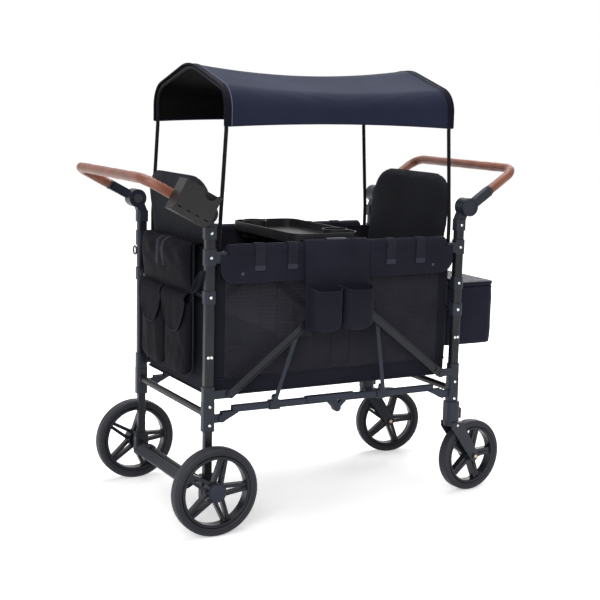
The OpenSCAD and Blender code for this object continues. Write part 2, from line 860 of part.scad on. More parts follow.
module rear_bottom_rails() color("#262b3a") both_sides() {
  rail_tube(rail_pivot.x + rail_setback, -rail_mid_gap);
  cheeks(rail_pivot, rail_pivot.x + rail_setback);
  cheeks(rail_mid, -rail_mid_gap);
  lock_sleeve();
}

module front_bottom_rails() color("#262b3a") both_sides() {
  rail_tube(rail_mid_gap, -rail_pivot.x - rail_setback);
  tongue(rail_mid, rail_mid_gap);
  at_front() cheeks(rail_pivot, rail_pivot.x + rail_setback);
}

// Shoe that slides along the rail tube and takes a strut's foot
module shoe(x) difference() {
  half_w = rail_w / 2 + slide_fit + shoe_wall;
  union() {
    beam(x - shoe_l / 2, shoe_l) translate([post_y, rail_z])
      rounded(2 * half_w, rail_h + 2 * slide_fit + 2 * shoe_wall, rail_r);
    slab(post_y, shoe_face - post_y) bar([x, rail_top], [x, shoe_pivot_z], strut_r + 2);
  }
  beam(x - shoe_l, 2 * shoe_l) translate([post_y, rail_z])
    rounded(rail_w + 2 * slide_fit, rail_h + 2 * slide_fit, rail_r);
}

module rear_shoes() color("#2b2d33") both_sides() shoe(rear_shoe_x);

module front_shoes() color("#2b2d33") both_sides() shoe(front_shoe_x);

// Diagonal link from a post to the middle, a channel with its open side outwards
module diagonal(link_y, strut_at) {
  along = [cos(link_slope), sin(link_slope)];
  difference() {
    slab(link_y, link_t) bar(link_pivot, link_mid, link_r);
    slab(link_y + link_t - channel_d, link_t)
      bar(link_pivot + channel_end * along, link_mid - channel_end * along, link_r - flange_w);
    pin(link_pivot, link_y - 1, link_y + 2 * link_t, pin_r + turn_fit);
  }
  pin(link_pivot + strut_at * along, strut_y, link_y + fit, pin_r);
  if (link_y > rear_link_y)
    pin(link_pivot + strut_at * along, strut_y + strut_t + slide_fit, link_y + fit, pin_r + 3);
}

module rear_diagonals() color("#232529") both_sides() diagonal(rear_link_y, rear_strut_at);

module front_diagonals() color("#232529") at_front() both_sides() diagonal(front_link_y, front_strut_at);

// Strut that hangs from a diagonal link to a shoe on the rail below
module strut(top, foot) difference() {
  slab(strut_y, strut_t) bar(top, foot, strut_r);
  pin(top, strut_y - 1, strut_y + 2 * strut_t, pin_r + turn_fit);
}

module rear_struts() color("#3a4056") both_sides() strut(rear_strut_top, [rear_shoe_x, shoe_pivot_z]);

module front_struts() color("#3a4056") at_front() both_sides()
  strut(front_strut_top, [-front_shoe_x, shoe_pivot_z]);

// Handles: children are drawn with the knuckle's axis at the origin and the arm along -X
module handle_place(rise) translate([-knuckle_x, 0, knuckle_z]) rotate([0, rise, 0]) children();

module handle_path(start, r) translate([-start, arm_mid, 0]) rotate([0, 0, 180])
  tube_path([
    [handle_reach - handle_bend - start, 90, handle_bend],
    [handle_cross, 90, handle_bend],
    [handle_reach - handle_bend - start, 0, 0]
  ], r, 0, 0);

module handle_frame(rise) handle_place(rise) {
  both_sides() difference() {
    union() {
      pin([0, 0], drum_y, arm_face, knuckle_r);
      slab(drum_y, arm_w) bar([0, 0], [-arm_l + arm_r, 0], arm_r);
      slab(drum_y, arm_w) translate([-arm_l, -arm_r]) square([arm_l - arm_r, 2 * arm_r]);
    }
    pin([0, 0], drum_y - 1, arm_face - cap_depth - 1, knuckle_pin_r + turn_fit);
    pin([0, 0], arm_face - cap_depth, arm_face + 1, cap_r);
    translate([-tube_start + fit, arm_mid, 0]) rotate([0, -90, 0])
      cylinder(h = arm_l, r = handle_tube_r + fit);
  }
  handle_path(tube_start, handle_tube_r);
}

module handle_grip(rise) handle_place(rise) difference() {
  handle_path(arm_l + fit, grip_r);
  handle_path(arm_l + fit - 1, handle_tube_r + fit);
}

module rear_handle_frame() color("#232529") handle_frame(rear_rise);

module rear_handle_grip() color("#7a4a35") handle_grip(rear_rise);

module front_handle_frame() color("#232529") at_front() handle_frame(front_rise);

module front_handle_grip() color("#7a4a35") at_front() handle_grip(front_rise);

// Release button in the inner face of the rear left knuckle
module button() pin([-knuckle_x, knuckle_z], hub_y - button_out, hub_y - button_out + button_l, button_r);

module rear_button_left() color("#3a3c42") button();

module rear_button_right() color("#3a3c42") at_right() button();

module front_button_left() color("#3a3c42") at_front() button();

module front_button_right() color("#3a3c42") at_front() at_right() button();

// Canopy hoop: two rods that lean towards the middle, and the arch that joins them
module canopy_rod() translate([-rod_x, hoop_y, rod_foot_z]) rotate([-90, -90, 0])
  tube_path([
    [rod_lean_z - rod_foot_z - lean_run, rod_lean, rod_bend],
    [rod_drop / cos(rod_lean) - 2 * lean_run, -rod_lean, rod_bend]
  ], rod_r);

module canopy_hoop() {
  foot_z = rod_up_z + lean_run - bend_lap;
  upright = shoulder_z - foot_z;
  both_sides() canopy_rod();
  translate([-hoop_x, -hoop_y, foot_z]) rotate([0, -90, 0])
    tube_path([
      [upright, 90 - roof_slope, shoulder_r],
      [roof_run, 2 * roof_slope, ridge_r],
      [roof_run, 90 - roof_slope, shoulder_r],
      [upright, 0, 0]
    ], rod_r);
}

module canopy_rear_hoop() color("#141518") canopy_hoop();

module canopy_front_hoop() color("#141518") at_front() canopy_hoop();

// Half of the cover's section, from the hem to the ridge, at a distance out from the hoop
function cover_half(out) = concat(
  [[hoop_y + out, hem_z], [hoop_y + out, (hem_z + shoulder_z) / 2]],
  [for (k = [0 : 8]) let (a = (90 - roof_slope) * k / 8)
    [shoulder_y + (shoulder_r + out) * cos(a), shoulder_z + (shoulder_r + out) * sin(a)]],
  [for (k = [0 : 4]) let (a = 90 - roof_slope + roof_slope * k / 4)
    [(ridge_r + out) * cos(a), ridge_z + (ridge_r + out) * sin(a)]]
);

// Whole section from the right hem over the ridge to the left hem
function cover_section(out) = let (half = cover_half(out), n = len(half)) concat(
  [for (p = half) [-p.x, p.y]], [for (k = [n - 2 : -1 : 0]) half[k]]
);

// Places of the cover's rows along the wagon: both ends, and even steps between the hoops
function cover_rows() = let (steps = 10, end = hoop_x + cover_over, clear = hoop_x - rod_r - 1) concat(
  [-end], [for (i = [0 : steps]) clear * (2 * i / steps - 1)], [end]
);

// Cover as a grid: the ridge sags and the hem rises between the hoops
function cover_grid(out) = let (section = cover_section(out)) [
  for (x = cover_rows()) let (sag = max(0, 1 - pow(x / (hoop_x - rod_r - 1), 2))) [
    for (p = section) let (up = (p.y - hem_z) / (peak_z - hem_z))
      [x, p.x, p.y - sag * (ridge_sag * up - hem_rise * max(0, 1 - 4 * up))]
  ]
];

module canopy_cover() color("#1b1d22")
  closed_pair(cover_grid(rod_r + cloth_fit + cover_t), cover_grid(rod_r + cloth_fit));

// Wheels, about the Y axis: a tyre, and a rim with spokes of two arms that close in towards the ring
module around_y() rotate([-90, 0, 0]) children();

module tyre(r, w, t) around_y() rotate_extrude($fn = 96) translate([r - t / 2, 0]) rounded(t, w, t * 0.38);

module rim(r, w, ring_t, hub_r, hub_w, bore_r, cap) around_y() difference() {
  union() {
    rotate_extrude($fn = 96) translate([r - ring_t / 2, 0]) rounded(ring_t, w, 3);
    cylinder(h = hub_w, r = hub_r, center = true);
    linear_extrude(spoke_t, center = true) for (i = [0 : spoke_n - 1]) rotate(360 / spoke_n * i - 75)
      for (side = [-1, 1])
        bar([hub_r * 0.8, side * hub_r * fork_share],
          (r - spoke_r - 1) * [cos(fork_angle), side * sin(fork_angle)], spoke_r);
  }
  translate([0, 0, -hub_w]) cylinder(h = hub_w * 3 / 2 - cap, r = bore_r);
}

// Rear wheels on the axle tube, which runs through the axle blocks
module at_rear_wheel() translate([-post_x, rear_wheel_y, rear_r]) children();

module rear_tyre() at_rear_wheel() tyre(rear_r, rear_tyre_w, rear_tyre_t);

module rear_rim() at_rear_wheel()
  rim(rear_r - rear_tyre_t - fit, rear_tyre_w - 6, rear_ring_t, rear_hub_r, rear_tyre_w,
    spindle_r + turn_fit, 3);

module rear_tyre_left() color("#1c1f2b") rear_tyre();

module rear_rim_left() color("#2a3048") rear_rim();

module rear_tyre_right() color("#1c1f2b") at_right() rear_tyre();

module rear_rim_right() color("#2a3048") at_right() rear_rim();

module rear_axle() color("#6d7078") {
  block_face = post_y + axle_block_d / 2;
  hub_in = rear_wheel_y - rear_tyre_w / 2;
  pin([-post_x, rear_r], -block_face - fit, block_face + fit, axle_r);
  both_sides() {
    pin([-post_x, rear_r], block_face + fit, hub_in - slide_fit, axle_r + 4);
    pin([-post_x, rear_r], hub_in - 1, rear_wheel_y + rear_tyre_w / 2 - 4, spindle_r);
  }
}

// Brake pedal: a wing across the wagon on two arms that turn on the axle
module brake_pedal() color("#2b2d33") {
  edge = [-post_x - brake_reach, rear_r - brake_drop];
  root = [-post_x - axle_r - brake_r - 3, rear_r];
  slab(-brake_w / 2, brake_w) bar(root, edge, brake_r);
  both_sides() difference() {
    union() {
      pin([-post_x, rear_r], brake_arm_y - brake_arm_w / 2, brake_arm_y + brake_arm_w / 2,
        axle_r + brake_ring);
      slab(brake_arm_y - brake_arm_w / 2, brake_arm_w) bar([-post_x, rear_r], root, brake_r - 1);
    }
    pin([-post_x, rear_r], brake_arm_y - brake_arm_w, brake_arm_y + brake_arm_w, axle_r + turn_fit);
  }
}

// Caster housings: foot sleeve above, barrel with the stem's socket and the lock's guides below
module caster_housings() color("#2b2d33") at_front() both_sides() difference() {
  union() {
    foot_sleeve();
    translate([-post_x, post_y, barrel_z])
      linear_extrude(sleeve_foot_z + barrel_lap - barrel_z) rounded(barrel_w, barrel_w, 12);
    for (side = [-1, 1])
      translate([
        -post_x - barrel_w / 2 - tab_t,
        post_y + side * (tab_w / 2 + 2.5 + slide_fit) - 2.5,
        tab_z - 4
      ])
        cube([tab_t + 8, 5, tab_h + 2]);
  }
  foot_holes();
  translate([-post_x, post_y, barrel_z - 1]) cylinder(h = stem_l + 1, r = stem_r + turn_fit);
}

// Swivel lock tab on the outer face of the front left barrel
module caster_lock() translate([post_x + tab_x, post_y - tab_w / 2, tab_z]) cube([tab_t, tab_w, tab_h]);

module caster_lock_left() color("#3a3c42") caster_lock();

module caster_lock_right() color("#3a3c42") at_right() caster_lock();

// Casters: children are drawn with the swivel axis at the origin and the wheel behind it, along +X
module caster_place(y, turn) translate([post_x, y, 0]) rotate([0, 0, turn]) children();

module caster_fork() {
  axle = [caster_trail, front_r];
  translate([0, 0, crown_z]) cylinder(h = stem_l - slide_fit, r = stem_r);
  difference() {
    union() {
      translate([0, 0, crown_z - crown_t]) cylinder(h = crown_t, r = crown_r);
      slab(-blade_y, 2 * blade_y) translate([-crown_r * 0.6, crown_z - crown_t])
        square([crown_r * 1.9, crown_t - 4]);
      for (y = [-blade_y - blade_t, blade_y])
        slab(y, blade_t) {
          translate(axle) circle(blade_r);
          polygon([
            [-crown_r * 0.7, crown_z - 4], [crown_r * 1.3, crown_z - 4],
            axle + blade_r * [cos(35), sin(35)], axle + blade_r * [cos(215), sin(215)],
            [-crown_r * 0.7, crown_z - crown_t - 6]
          ]);
        }
    }
    pin(axle, -blade_y, blade_y, front_r + 4);
  }
  pin(axle, -blade_y - blade_t - 4, blade_y + blade_t + 4, bolt_r);
  for (y = [-blade_y - blade_t - 5, blade_y + blade_t])
    pin(axle, y, y + 5, bolt_r + 4);
}

module front_tyre() translate([caster_trail, 0, front_r]) tyre(front_r, front_tyre_w, front_tyre_t);

module front_rim() translate([caster_trail, 0, front_r])
  rim(front_r - front_tyre_t - fit, front_tyre_w - 6, front_ring_t, front_hub_r, 2 * front_half,
    bolt_r + turn_fit, -1);

module caster_fork_left() color("#262b3a") caster_place(post_y, left_turn) caster_fork();

module caster_fork_right() color("#262b3a") caster_place(-post_y, right_turn) caster_fork();

module front_tyre_left() color("#1c1f2b") caster_place(post_y, left_turn) front_tyre();

module front_rim_left() color("#2a3048") caster_place(post_y, left_turn) front_rim();

module front_tyre_right() color("#1c1f2b") caster_place(-post_y, right_turn) front_tyre();

module front_rim_right() color("#2a3048") caster_place(-post_y, right_turn) front_rim();

// Fabric basket: a tub that is open at the top
module basket() color("#1d1f26") difference() {
  translate([0, 0, basket_z]) linear_extrude(rim_z - basket_z) rounded(basket_l, 2 * side_wall_y, basket_r);
  translate([0, 0, basket_z + basket_wall]) linear_extrude(rim_z - basket_z)
    rounded(basket_l - 2 * basket_wall, 2 * (side_wall_y - basket_wall), basket_r - basket_wall);
}

// Padded rails along the basket's sides
module side_rail_pads() color("#20232d") both_sides()
  translate([-pad_l / 2, post_y, pad_z]) rotate([0, 90, 0]) cylinder(h = pad_l, r = pad_r);

// Flaps that hang from the padded rails, and the webbing straps over them
module side_flaps() color("#1f222b") both_sides() {
  slab(flap_y, flap_t) translate([-flap_l / 2, flap_z]) square([flap_l, flap_top_z - flap_z]);
  for (x = [-strap_out_x, -strap_in_x, strap_in_x, strap_out_x])
    slab(strap_y, strap_t) translate([x - strap_w / 2, strap_z]) square([strap_w, pad_z - strap_z]);
}

// How far a cushion of this half width stands off the basket's end wall because of its round corners
function corner_gap(half) = let (r = basket_r - basket_wall, over = max(0, half - side_wall_y + basket_r))
  r - sqrt(max(0, r * r - over * over));

// Seat pad: flat below, crowned above, its sides drawn in between the corners
function seat_grid(crown) = let (steps = 20, half_l = seat_l / 2, half_w = seat_w / 2) [
  for (i = [0 : steps]) let (u = 2 * i / steps - 1) [
    for (j = [0 : steps]) let (v = 2 * j / steps - 1) [
      -seat_x + half_l + (half_l - draw_in * (1 - v * v)) * u,
      (half_w - draw_in * (1 - u * u)) * v,
      seat_z + (crown ? seat_edge + seat_crown * sqrt((1 - pow(u, 4)) * (1 - pow(v, 4))) : 0)
    ]
  ]
];

// Seat pad on the fabric box that carries it
module seat() {
  box_l = seat_l - 2 * draw_in - 2;
  box_w = seat_w - 2 * draw_in - 2;
  floor_z = basket_z + basket_wall + fit;
  closed_pair(seat_grid(true), seat_grid(false));
  translate([-seat_x + seat_l / 2, 0, floor_z])
    linear_extrude(seat_z - fit - floor_z) difference() {
      rounded(box_l, box_w, basket_r);
      rounded(box_l - 2 * seat_wall, box_w - 2 * seat_wall, basket_r - seat_wall);
    }
}

module rear_seat_pad() color("#24262d") seat();

module front_seat_pad() color("#24262d") at_front() seat();

// Seat back: flat behind, crowned in front, with rounded top corners
function back_grid(crown) = let (steps = 20, half_w = back_w / 2) [
  for (i = [0 : steps]) let (v = 2 * i / steps - 1, top = back_top_z - back_drop * pow(abs(v), 7)) [
    for (j = [0 : steps]) let (s = j / steps, w = 2 * s - 1) [
      crown ? back_edge + back_crown * sqrt((1 - pow(v, 4)) * (1 - pow(w, 4))) : 0,
      (half_w - draw_in * (1 - w * w)) * v,
      back_z - rim_z + s * (top - back_z)
    ]
  ]
];

module seat_back() translate([-back_x, 0, rim_z]) rotate([0, -back_lean, 0])
  closed_pair(back_grid(true), back_grid(false));

module rear_seat_back() color("#24262d") seat_back();

module front_seat_back() color("#24262d") at_front() seat_back();

// Organiser: a saddle over the right padded rail, with two open pockets below it
module organiser() color("#1f222b") at_right() {
  saddle_r = pad_r + cloth_fit;
  back_y = organiser_y + organiser_t;
  knee_z = max(pocket_top_z, link_mid_z + link_r) + knee_rise;
  beam(organiser_x - organiser_w / 2, organiser_w) {
    translate([organiser_y, organiser_z]) square([organiser_t, knee_z - organiser_z]);
    polygon([
      [organiser_y, knee_z - 4], [back_y, knee_z],
      [post_y + saddle_r + organiser_t, pad_z], [post_y + saddle_r, pad_z]
    ]);
    difference() {
      translate([post_y, pad_z]) circle(saddle_r + organiser_t);
      translate([post_y, pad_z]) circle(saddle_r);
      translate([post_y - 2 * saddle_r, pad_z - 2 * saddle_r]) square([4 * saddle_r, 2 * saddle_r]);
      translate([post_y - 2 * saddle_r, pad_z - 1])
        square([2 * saddle_r, rim_z + 2 * cloth_fit - pad_z + 1]);
    }
  }
  for (side = [-1, 1])
    translate([organiser_x + side * (organiser_w / 4), back_y, organiser_z]) difference() {
      pocket(pocket_top_z - organiser_z, 0);
      translate([0, 0, organiser_t]) pocket(pocket_top_z, organiser_t);
    }
}

// Pocket with a straight back and round front corners, shrunk by a wall
module pocket(h, wall) linear_extrude(h) intersection() {
  translate([-pocket_w / 2 + wall, wall]) square([pocket_w - 2 * wall, pocket_d]);
  rounded(pocket_w - 2 * wall, 2 * pocket_d - 2 * wall, pocket_r - wall);
}

// Rear panel that hooks over the basket's rim, with an open bag and two flaps
module rear_pouch() color("#1f222b") {
  lip_x = end_wall_x - basket_wall / 2;
  flap_h = (pouch_top_z - pouch_z) * 0.38;
  translate([-pouch_x, -pouch_w / 2, pouch_z]) cube([pouch_t, pouch_w, panel_top_z - pouch_z]);
  translate([-pouch_x, -pouch_w / 2, rim_z + fit])
    cube([pouch_x - lip_x, pouch_w, panel_top_z - rim_z - fit]);
  difference() {
    translate([-pouch_x - pouch_d, -pouch_w / 2, pouch_z]) cube([pouch_d, pouch_w, pouch_top_z - pouch_z]);
    for (side = [-1, 1])
      translate([-pouch_x - pouch_d + pouch_t, (side - 1) * pouch_w / 4 + pouch_t, pouch_z + pouch_t])
        cube([pouch_d - pouch_t, pouch_w / 2 - 2 * pouch_t, pouch_top_z]);
  }
  for (side = [-1, 1])
    translate([-pouch_x - pouch_d - pouch_t, (side - 1) * pouch_w / 4 + pouch_t, pouch_top_z - flap_h])
      cube([pouch_t, pouch_w / 2 - 2 * pouch_t, flap_h]);
}

// Insulated cooler in front of the wagon, hung from the upper cross tube by two webbing loops
module cooler_bag() color("#202229") {
  difference() {
    translate([cooler_x + cooler_d / 2, 0, cooler_z]) linear_extrude(cooler_h)
      rounded(cooler_d, cooler_w, basket_r);
    translate([cooler_x + cooler_d / 2, 0, cooler_z + cooler_wall]) linear_extrude(cooler_h)
      rounded(cooler_d - 2 * cooler_wall, cooler_w - 2 * cooler_wall, basket_r - cooler_wall);
  }
  both_sides() slab(hanger_y - hanger_w / 2, hanger_w) {
    difference() {
      translate([post_x, top_tube_z]) circle(top_tube_r + fit + hanger_t);
      translate([post_x, top_tube_z]) circle(top_tube_r + fit);
    }
    translate([cooler_x - hanger_t, cooler_z + cooler_h / 2])
      square([hanger_t, cooler_h / 2 - 2]);
    polygon([
      [cooler_x - hanger_t, cooler_z + cooler_h - 4], [cooler_x, cooler_z + cooler_h - 4],
      [post_x + top_tube_r + fit + hanger_t, top_tube_z], [post_x + top_tube_r + fit, top_tube_z]
    ]);
  }
}

module cooler_lid() color("#24262d")
  translate([cooler_x + cooler_d / 2, 0, cooler_z + cooler_h + slide_fit])
    linear_extrude(lid_t) rounded(cooler_d, cooler_w, basket_r);

// Console on the outer side of the rear right handle arm: a cup bay and a phone bay
module console_section(face, inset = 0) translate([face, -console_drop]) {
  corner = console_foot + inset * (sqrt(2) - 1);
  top = console_h + inset;
  polygon([
    [inset, inset], [console_d - corner, inset], [console_d - inset, corner], [console_d - inset, top], [inset, top]
  ]);
}

module console() color("#2b2c30") handle_place(rear_rise) at_right() difference() {
  phone_l = console_l - cup_bay_l - 3 * console_wall;
  face = max(arm_face, arm_mid + grip_r) + fit;
  union() {
    beam(-console_u - console_l, console_l) console_section(face);
    translate([-arm_l + fit, arm_face + fit, -arm_r / 2])
      cube([arm_l - cap_r - 2 * fit, face - arm_face + console_wall, arm_r]);
  }
  beam(-console_u - console_l + console_wall, cup_bay_l) console_section(face, console_wall);
  beam(-console_u - console_wall - phone_l, phone_l) intersection() {
    console_section(face, console_wall);
    translate([face + console_d / 2, -console_drop]) square([console_d, 2 * console_h]);
  }
  translate([-console_u - console_wall - phone_l / 2, face + console_d / 2, console_h - console_drop])
    rotate([-90, 0, 0]) cylinder(h = console_d, r = phone_l * 0.36);
  for (i = [0 : 3])
    translate([-console_u - console_l * (2 * i + 1) / 8 - drain_l / 2, face + console_d - 2 * console_wall,
        console_foot + drain_h - console_drop])
      cube([drain_l, 3 * console_wall, drain_h]);
}

// Clip over a padded rail, at distance r from its axis, with the ledge that the tray rests on
module tray_clip(r) beam(tray_x - clip_w / 2, clip_w) {
  difference() {
    translate([post_y, pad_z]) circle(r + clip_t);
    translate([post_y, pad_z]) circle(r);
    translate([post_y - 2 * r, pad_z - 2 * r]) square([4 * r, 2 * r]);
    translate([strut_y - slide_fit, pad_z - r]) square(4 * r);
  }
  translate([post_y - r - ledge_l, ledge_z - clip_t]) square([ledge_l - fit, clip_t]);
}

module tray_clips() color("#2b2d33") both_sides() tray_clip(clip_r);

// Snack tray with a cup ring at two opposite corners
module snack_tray() color("#1c1d22") translate([tray_x, 0, tray_z]) difference() {
  union() {
    linear_extrude(tray_h) rounded(tray_l, tray_w, tray_r);
    cup_wells() translate([0, 0, -cup_drop])
      cylinder(h = tray_h + cup_rise + cup_drop, r = cup_r + tray_wall);
  }
  difference() {
    translate([0, 0, tray_wall]) linear_extrude(tray_h)
      rounded(tray_l - 2 * tray_wall, tray_w - 2 * tray_wall, tray_r - tray_wall);
    cup_wells() translate([0, 0, -cup_drop])
      cylinder(h = tray_h + cup_rise + cup_drop, r = cup_r + tray_wall);
  }
  cup_wells() translate([0, 0, tray_wall - cup_drop]) cylinder(h = tray_h + cup_rise + cup_drop, r = cup_r);
}

// Children at the two cup rings
module cup_wells() for (side = [-1, 1]) translate([side * cup_x, -side * cup_y, 0]) children();

rear_posts();
rear_legs();
rear_leg_sleeves();
rear_cross_tubes();
rear_post_brackets();
rear_knuckle_hubs();
rear_axle();
rear_rivets();
front_posts();
caster_housings();
front_cross_tubes();
front_post_brackets();
front_knuckle_hubs();
front_rivets();
rear_bottom_rails();
front_bottom_rails();
rear_shoes();
front_shoes();
rear_diagonals();
front_diagonals();
rear_struts();
front_struts();
rear_handle_frame();
rear_handle_grip();
front_handle_frame();
front_handle_grip();
rear_button_left();
rear_button_right();
front_button_left();
front_button_right();
canopy_rear_hoop();
canopy_front_hoop();
canopy_cover();
rear_tyre_left();
rear_rim_left();
rear_tyre_right();
rear_rim_right();
brake_pedal();
caster_fork_left();
caster_fork_right();
front_tyre_left();
front_rim_left();
front_tyre_right();
front_rim_right();
caster_lock_left();
caster_lock_right();
basket();
side_rail_pads();
side_flaps();
rear_seat_pad();
rear_seat_back();
front_seat_pad();
front_seat_back();
organiser();
rear_pouch();
cooler_bag();
cooler_lid();
console();
tray_clips();
snack_tray();
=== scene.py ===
import math

import bmesh
import bpy
import numpy as np
from mathutils import Matrix, Vector
from mathutils.bvhtree import BVHTree


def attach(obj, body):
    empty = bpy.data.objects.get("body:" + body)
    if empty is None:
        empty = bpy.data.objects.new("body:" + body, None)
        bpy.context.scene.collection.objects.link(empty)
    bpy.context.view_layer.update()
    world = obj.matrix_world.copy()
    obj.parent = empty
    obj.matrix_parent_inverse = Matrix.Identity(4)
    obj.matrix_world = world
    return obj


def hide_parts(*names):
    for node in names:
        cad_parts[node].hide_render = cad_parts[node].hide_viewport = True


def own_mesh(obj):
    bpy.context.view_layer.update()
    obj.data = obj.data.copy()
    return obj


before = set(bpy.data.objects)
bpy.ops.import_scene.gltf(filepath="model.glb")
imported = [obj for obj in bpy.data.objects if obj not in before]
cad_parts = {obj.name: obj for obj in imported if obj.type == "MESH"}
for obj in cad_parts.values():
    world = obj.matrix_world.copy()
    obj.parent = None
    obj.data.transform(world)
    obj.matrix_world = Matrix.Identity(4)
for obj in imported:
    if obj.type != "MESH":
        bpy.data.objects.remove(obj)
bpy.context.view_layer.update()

# Camera on the near side, a little above the rails and turned towards the rear end,
# so that the long side, the rear end and the open canopy show as in a catalogue picture.
LOOK = Vector((0.47439, 0.86577, -0.15937))
ACROSS = Vector((0.87857, -0.47702, 0.02377))
camera = bpy.data.objects.new("camera", bpy.data.cameras.new("camera"))
camera.data.sensor_width = 36.0
camera.data.lens = 36.0 * 1274 / 600
axes = Matrix((ACROSS, ACROSS.cross(LOOK), -LOOK)).transposed().to_4x4()
camera.matrix_world = Matrix.Translation((-2.015, -3.693, 1.325)) @ axes
bpy.context.collection.objects.link(camera)
bpy.context.scene.camera = camera
bpy.context.scene.view_settings.view_transform = "Standard"

# Studio: a pale floor that keeps the shadow, a white surround, and three large soft lamps
# that hang in front, above and behind.
def plug(tree, socket, value):
    """Gives an input of a shader node a value, or a link from another socket."""
    if isinstance(value, bpy.types.NodeSocket):
        tree.links.new(value, socket)
    else:
        socket.default_value = value


def plug_named(tree, node, **sockets):
    """Plugs the named inputs of a shader node."""
    for name, value in sockets.items():
        plug(tree, node.inputs[name.replace("_", " ")], value)


def add(tree, kind, **sockets):
    """New shader node of a kind with its named inputs."""
    made = tree.nodes.new("ShaderNode" + kind)
    plug_named(tree, made, **sockets)
    return made


def add_in_order(tree, kind, *values, operation=None):
    """New shader node of a kind with its inputs in order, set to an operation where it has one."""
    made = add(tree, kind)
    if operation:
        made.operation = operation
    for socket, value in zip(made.inputs, values):
        plug(tree, socket, value)
    return made


def white_rays(tree):
    """1 for rays from the camera, or by way of gloss or glass, which see a white surround, else 0."""
    rays = add(tree, "LightPath").outputs
    total = rays["Is Camera Ray"]
    for kind in ("Is Glossy Ray", "Is Transmission Ray"):
        total = add_in_order(tree, "Math", total, rays[kind], operation="MAXIMUM").outputs[0]
    return total


world = bpy.data.worlds.new("studio")
world.use_nodes = True
bpy.context.scene.world = world
surround = world.node_tree
surround.nodes.clear()
strength = add(surround, "MapRange", Value=white_rays(surround), To_Min=0.34, To_Max=1.0)
backdrop = add(surround, "Background", Color=(1, 1, 1, 1), Strength=strength.outputs[0])
add(surround, "OutputWorld", Surface=backdrop.outputs[0])

FLOOR_HALF, FLOOR_Z = 12.0, -0.0008
floor_mesh = bpy.data.meshes.new("floor")
corners = [(x * FLOOR_HALF, y * FLOOR_HALF, FLOOR_Z) for x, y in ((-1, -1), (1, -1), (1, 1), (-1, 1))]
floor_mesh.from_pydata(corners, [], [(0, 1, 2, 3)])
floor = bpy.data.objects.new("floor", floor_mesh)
bpy.context.collection.objects.link(floor)
paper = bpy.data.materials.new("floor_paper")
paper.use_nodes = True
tree = paper.node_tree
tree.nodes.clear()
matt = add(tree, "BsdfDiffuse", Color=(0.86, 0.86, 0.86, 1))
place = add(tree, "TexCoord").outputs["Object"]
far = add_in_order(tree, "VectorMath", place, operation="LENGTH").outputs["Value"]
lift = add(tree, "MapRange", Value=far, From_Min=0.7, From_Max=1.8, To_Min=0.48, To_Max=1.0)
glow = add(tree, "Emission", Color=(1, 1, 1, 1), Strength=lift.outputs[0])
lit = add_in_order(tree, "AddShader", matt.outputs[0], glow.outputs[0])
shade = add_in_order(tree, "MixShader", white_rays(tree), matt.outputs[0], lit.outputs[0])
add(tree, "OutputMaterial", Surface=shade.outputs[0])
floor_mesh.materials.append(paper)


def soft_lamp(name, place, aim, width, watts):
    """Square area lamp of a width at a place, turned to shine at a point."""
    lamp = bpy.data.objects.new(name, bpy.data.lights.new(name, "AREA"))
    lamp.data.size = width
    lamp.data.energy = watts
    lamp.location = place
    lamp.rotation_euler = (Vector(aim) - Vector(place)).to_track_quat("-Z", "Y").to_euler()
    bpy.context.collection.objects.link(lamp)


soft_lamp("front_lamp", (-2.6, -3.4, 3.0), (0, 0, 0.7), 2.4, 120)
soft_lamp("top_lamp", (0.4, 0.5, 4.2), (0, 0, 0.6), 3.0, 120)
soft_lamp("far_lamp", (3.2, 2.4, 2.6), (0, 0, 0.8), 2.0, 70)

# Steel and aluminium frame: extruded posts, cross tubes and folding links, all powder-coated
# nearly black, with the fine orange-peel of a baked coat. The canopy's rods are duller.
def new_finish(name, **sockets):
    """New finish with its node tree and its shader, whose named inputs are plugged."""
    finish = bpy.data.materials.new(name)
    finish.use_nodes = True
    tree = finish.node_tree
    shader = tree.nodes["Principled BSDF"]
    plug_named(tree, shader, **sockets)
    return finish, tree, shader


def mottled(tree, patches, colour, darkest, lightest, last=0.7):
    """Colour that runs from a darker to a lighter share of itself, by the patches of a noise."""
    tint = add(tree, "ValToRGB", Fac=patches)
    for stop, place, share in zip(tint.color_ramp.elements, (0.3, last), (darkest, lightest)):
        stop.position = place
        stop.color = [min(1.0, c * share) for c in colour] + [1]
    return tint.outputs[0]


def coat(name, colour, rough, metallic=0.0, grain=0.0011, depth=0.00012, edge=0.0012, shine=0.24):
    """Coated or moulded finish: fine noise bumps, broad uneven colour and gloss, and eased edges."""
    finish, tree, shader = new_finish(name, Metallic=metallic, Specular_IOR_Level=shine)
    place = add(tree, "TexCoord").outputs["Object"]
    fine = add(tree, "TexNoise", Vector=place, Scale=1 / grain, Detail=2.0)
    broad = add(tree, "TexNoise", Vector=place, Scale=9.0, Detail=3.0).outputs[0]
    tint = mottled(tree, broad, colour, 0.8, 1.25)
    gloss = add(tree, "MapRange", Value=broad, To_Min=rough - 0.07, To_Max=rough + 0.07)
    eased = add(tree, "Bevel", Radius=edge)
    eased.samples = 4
    bumps = add(tree, "Bump", Height=fine.outputs[0], Distance=depth, Normal=eased.outputs[0])
    plug_named(tree, shader, Base_Color=tint, Roughness=gloss.outputs[0], Normal=bumps.outputs[0])
    return finish


def dress(finish, *nodes):
    """Puts a finish on solids that keep their own shape."""
    for name in nodes:
        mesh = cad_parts[name].data
        mesh.materials.clear()
        mesh.materials.append(finish)


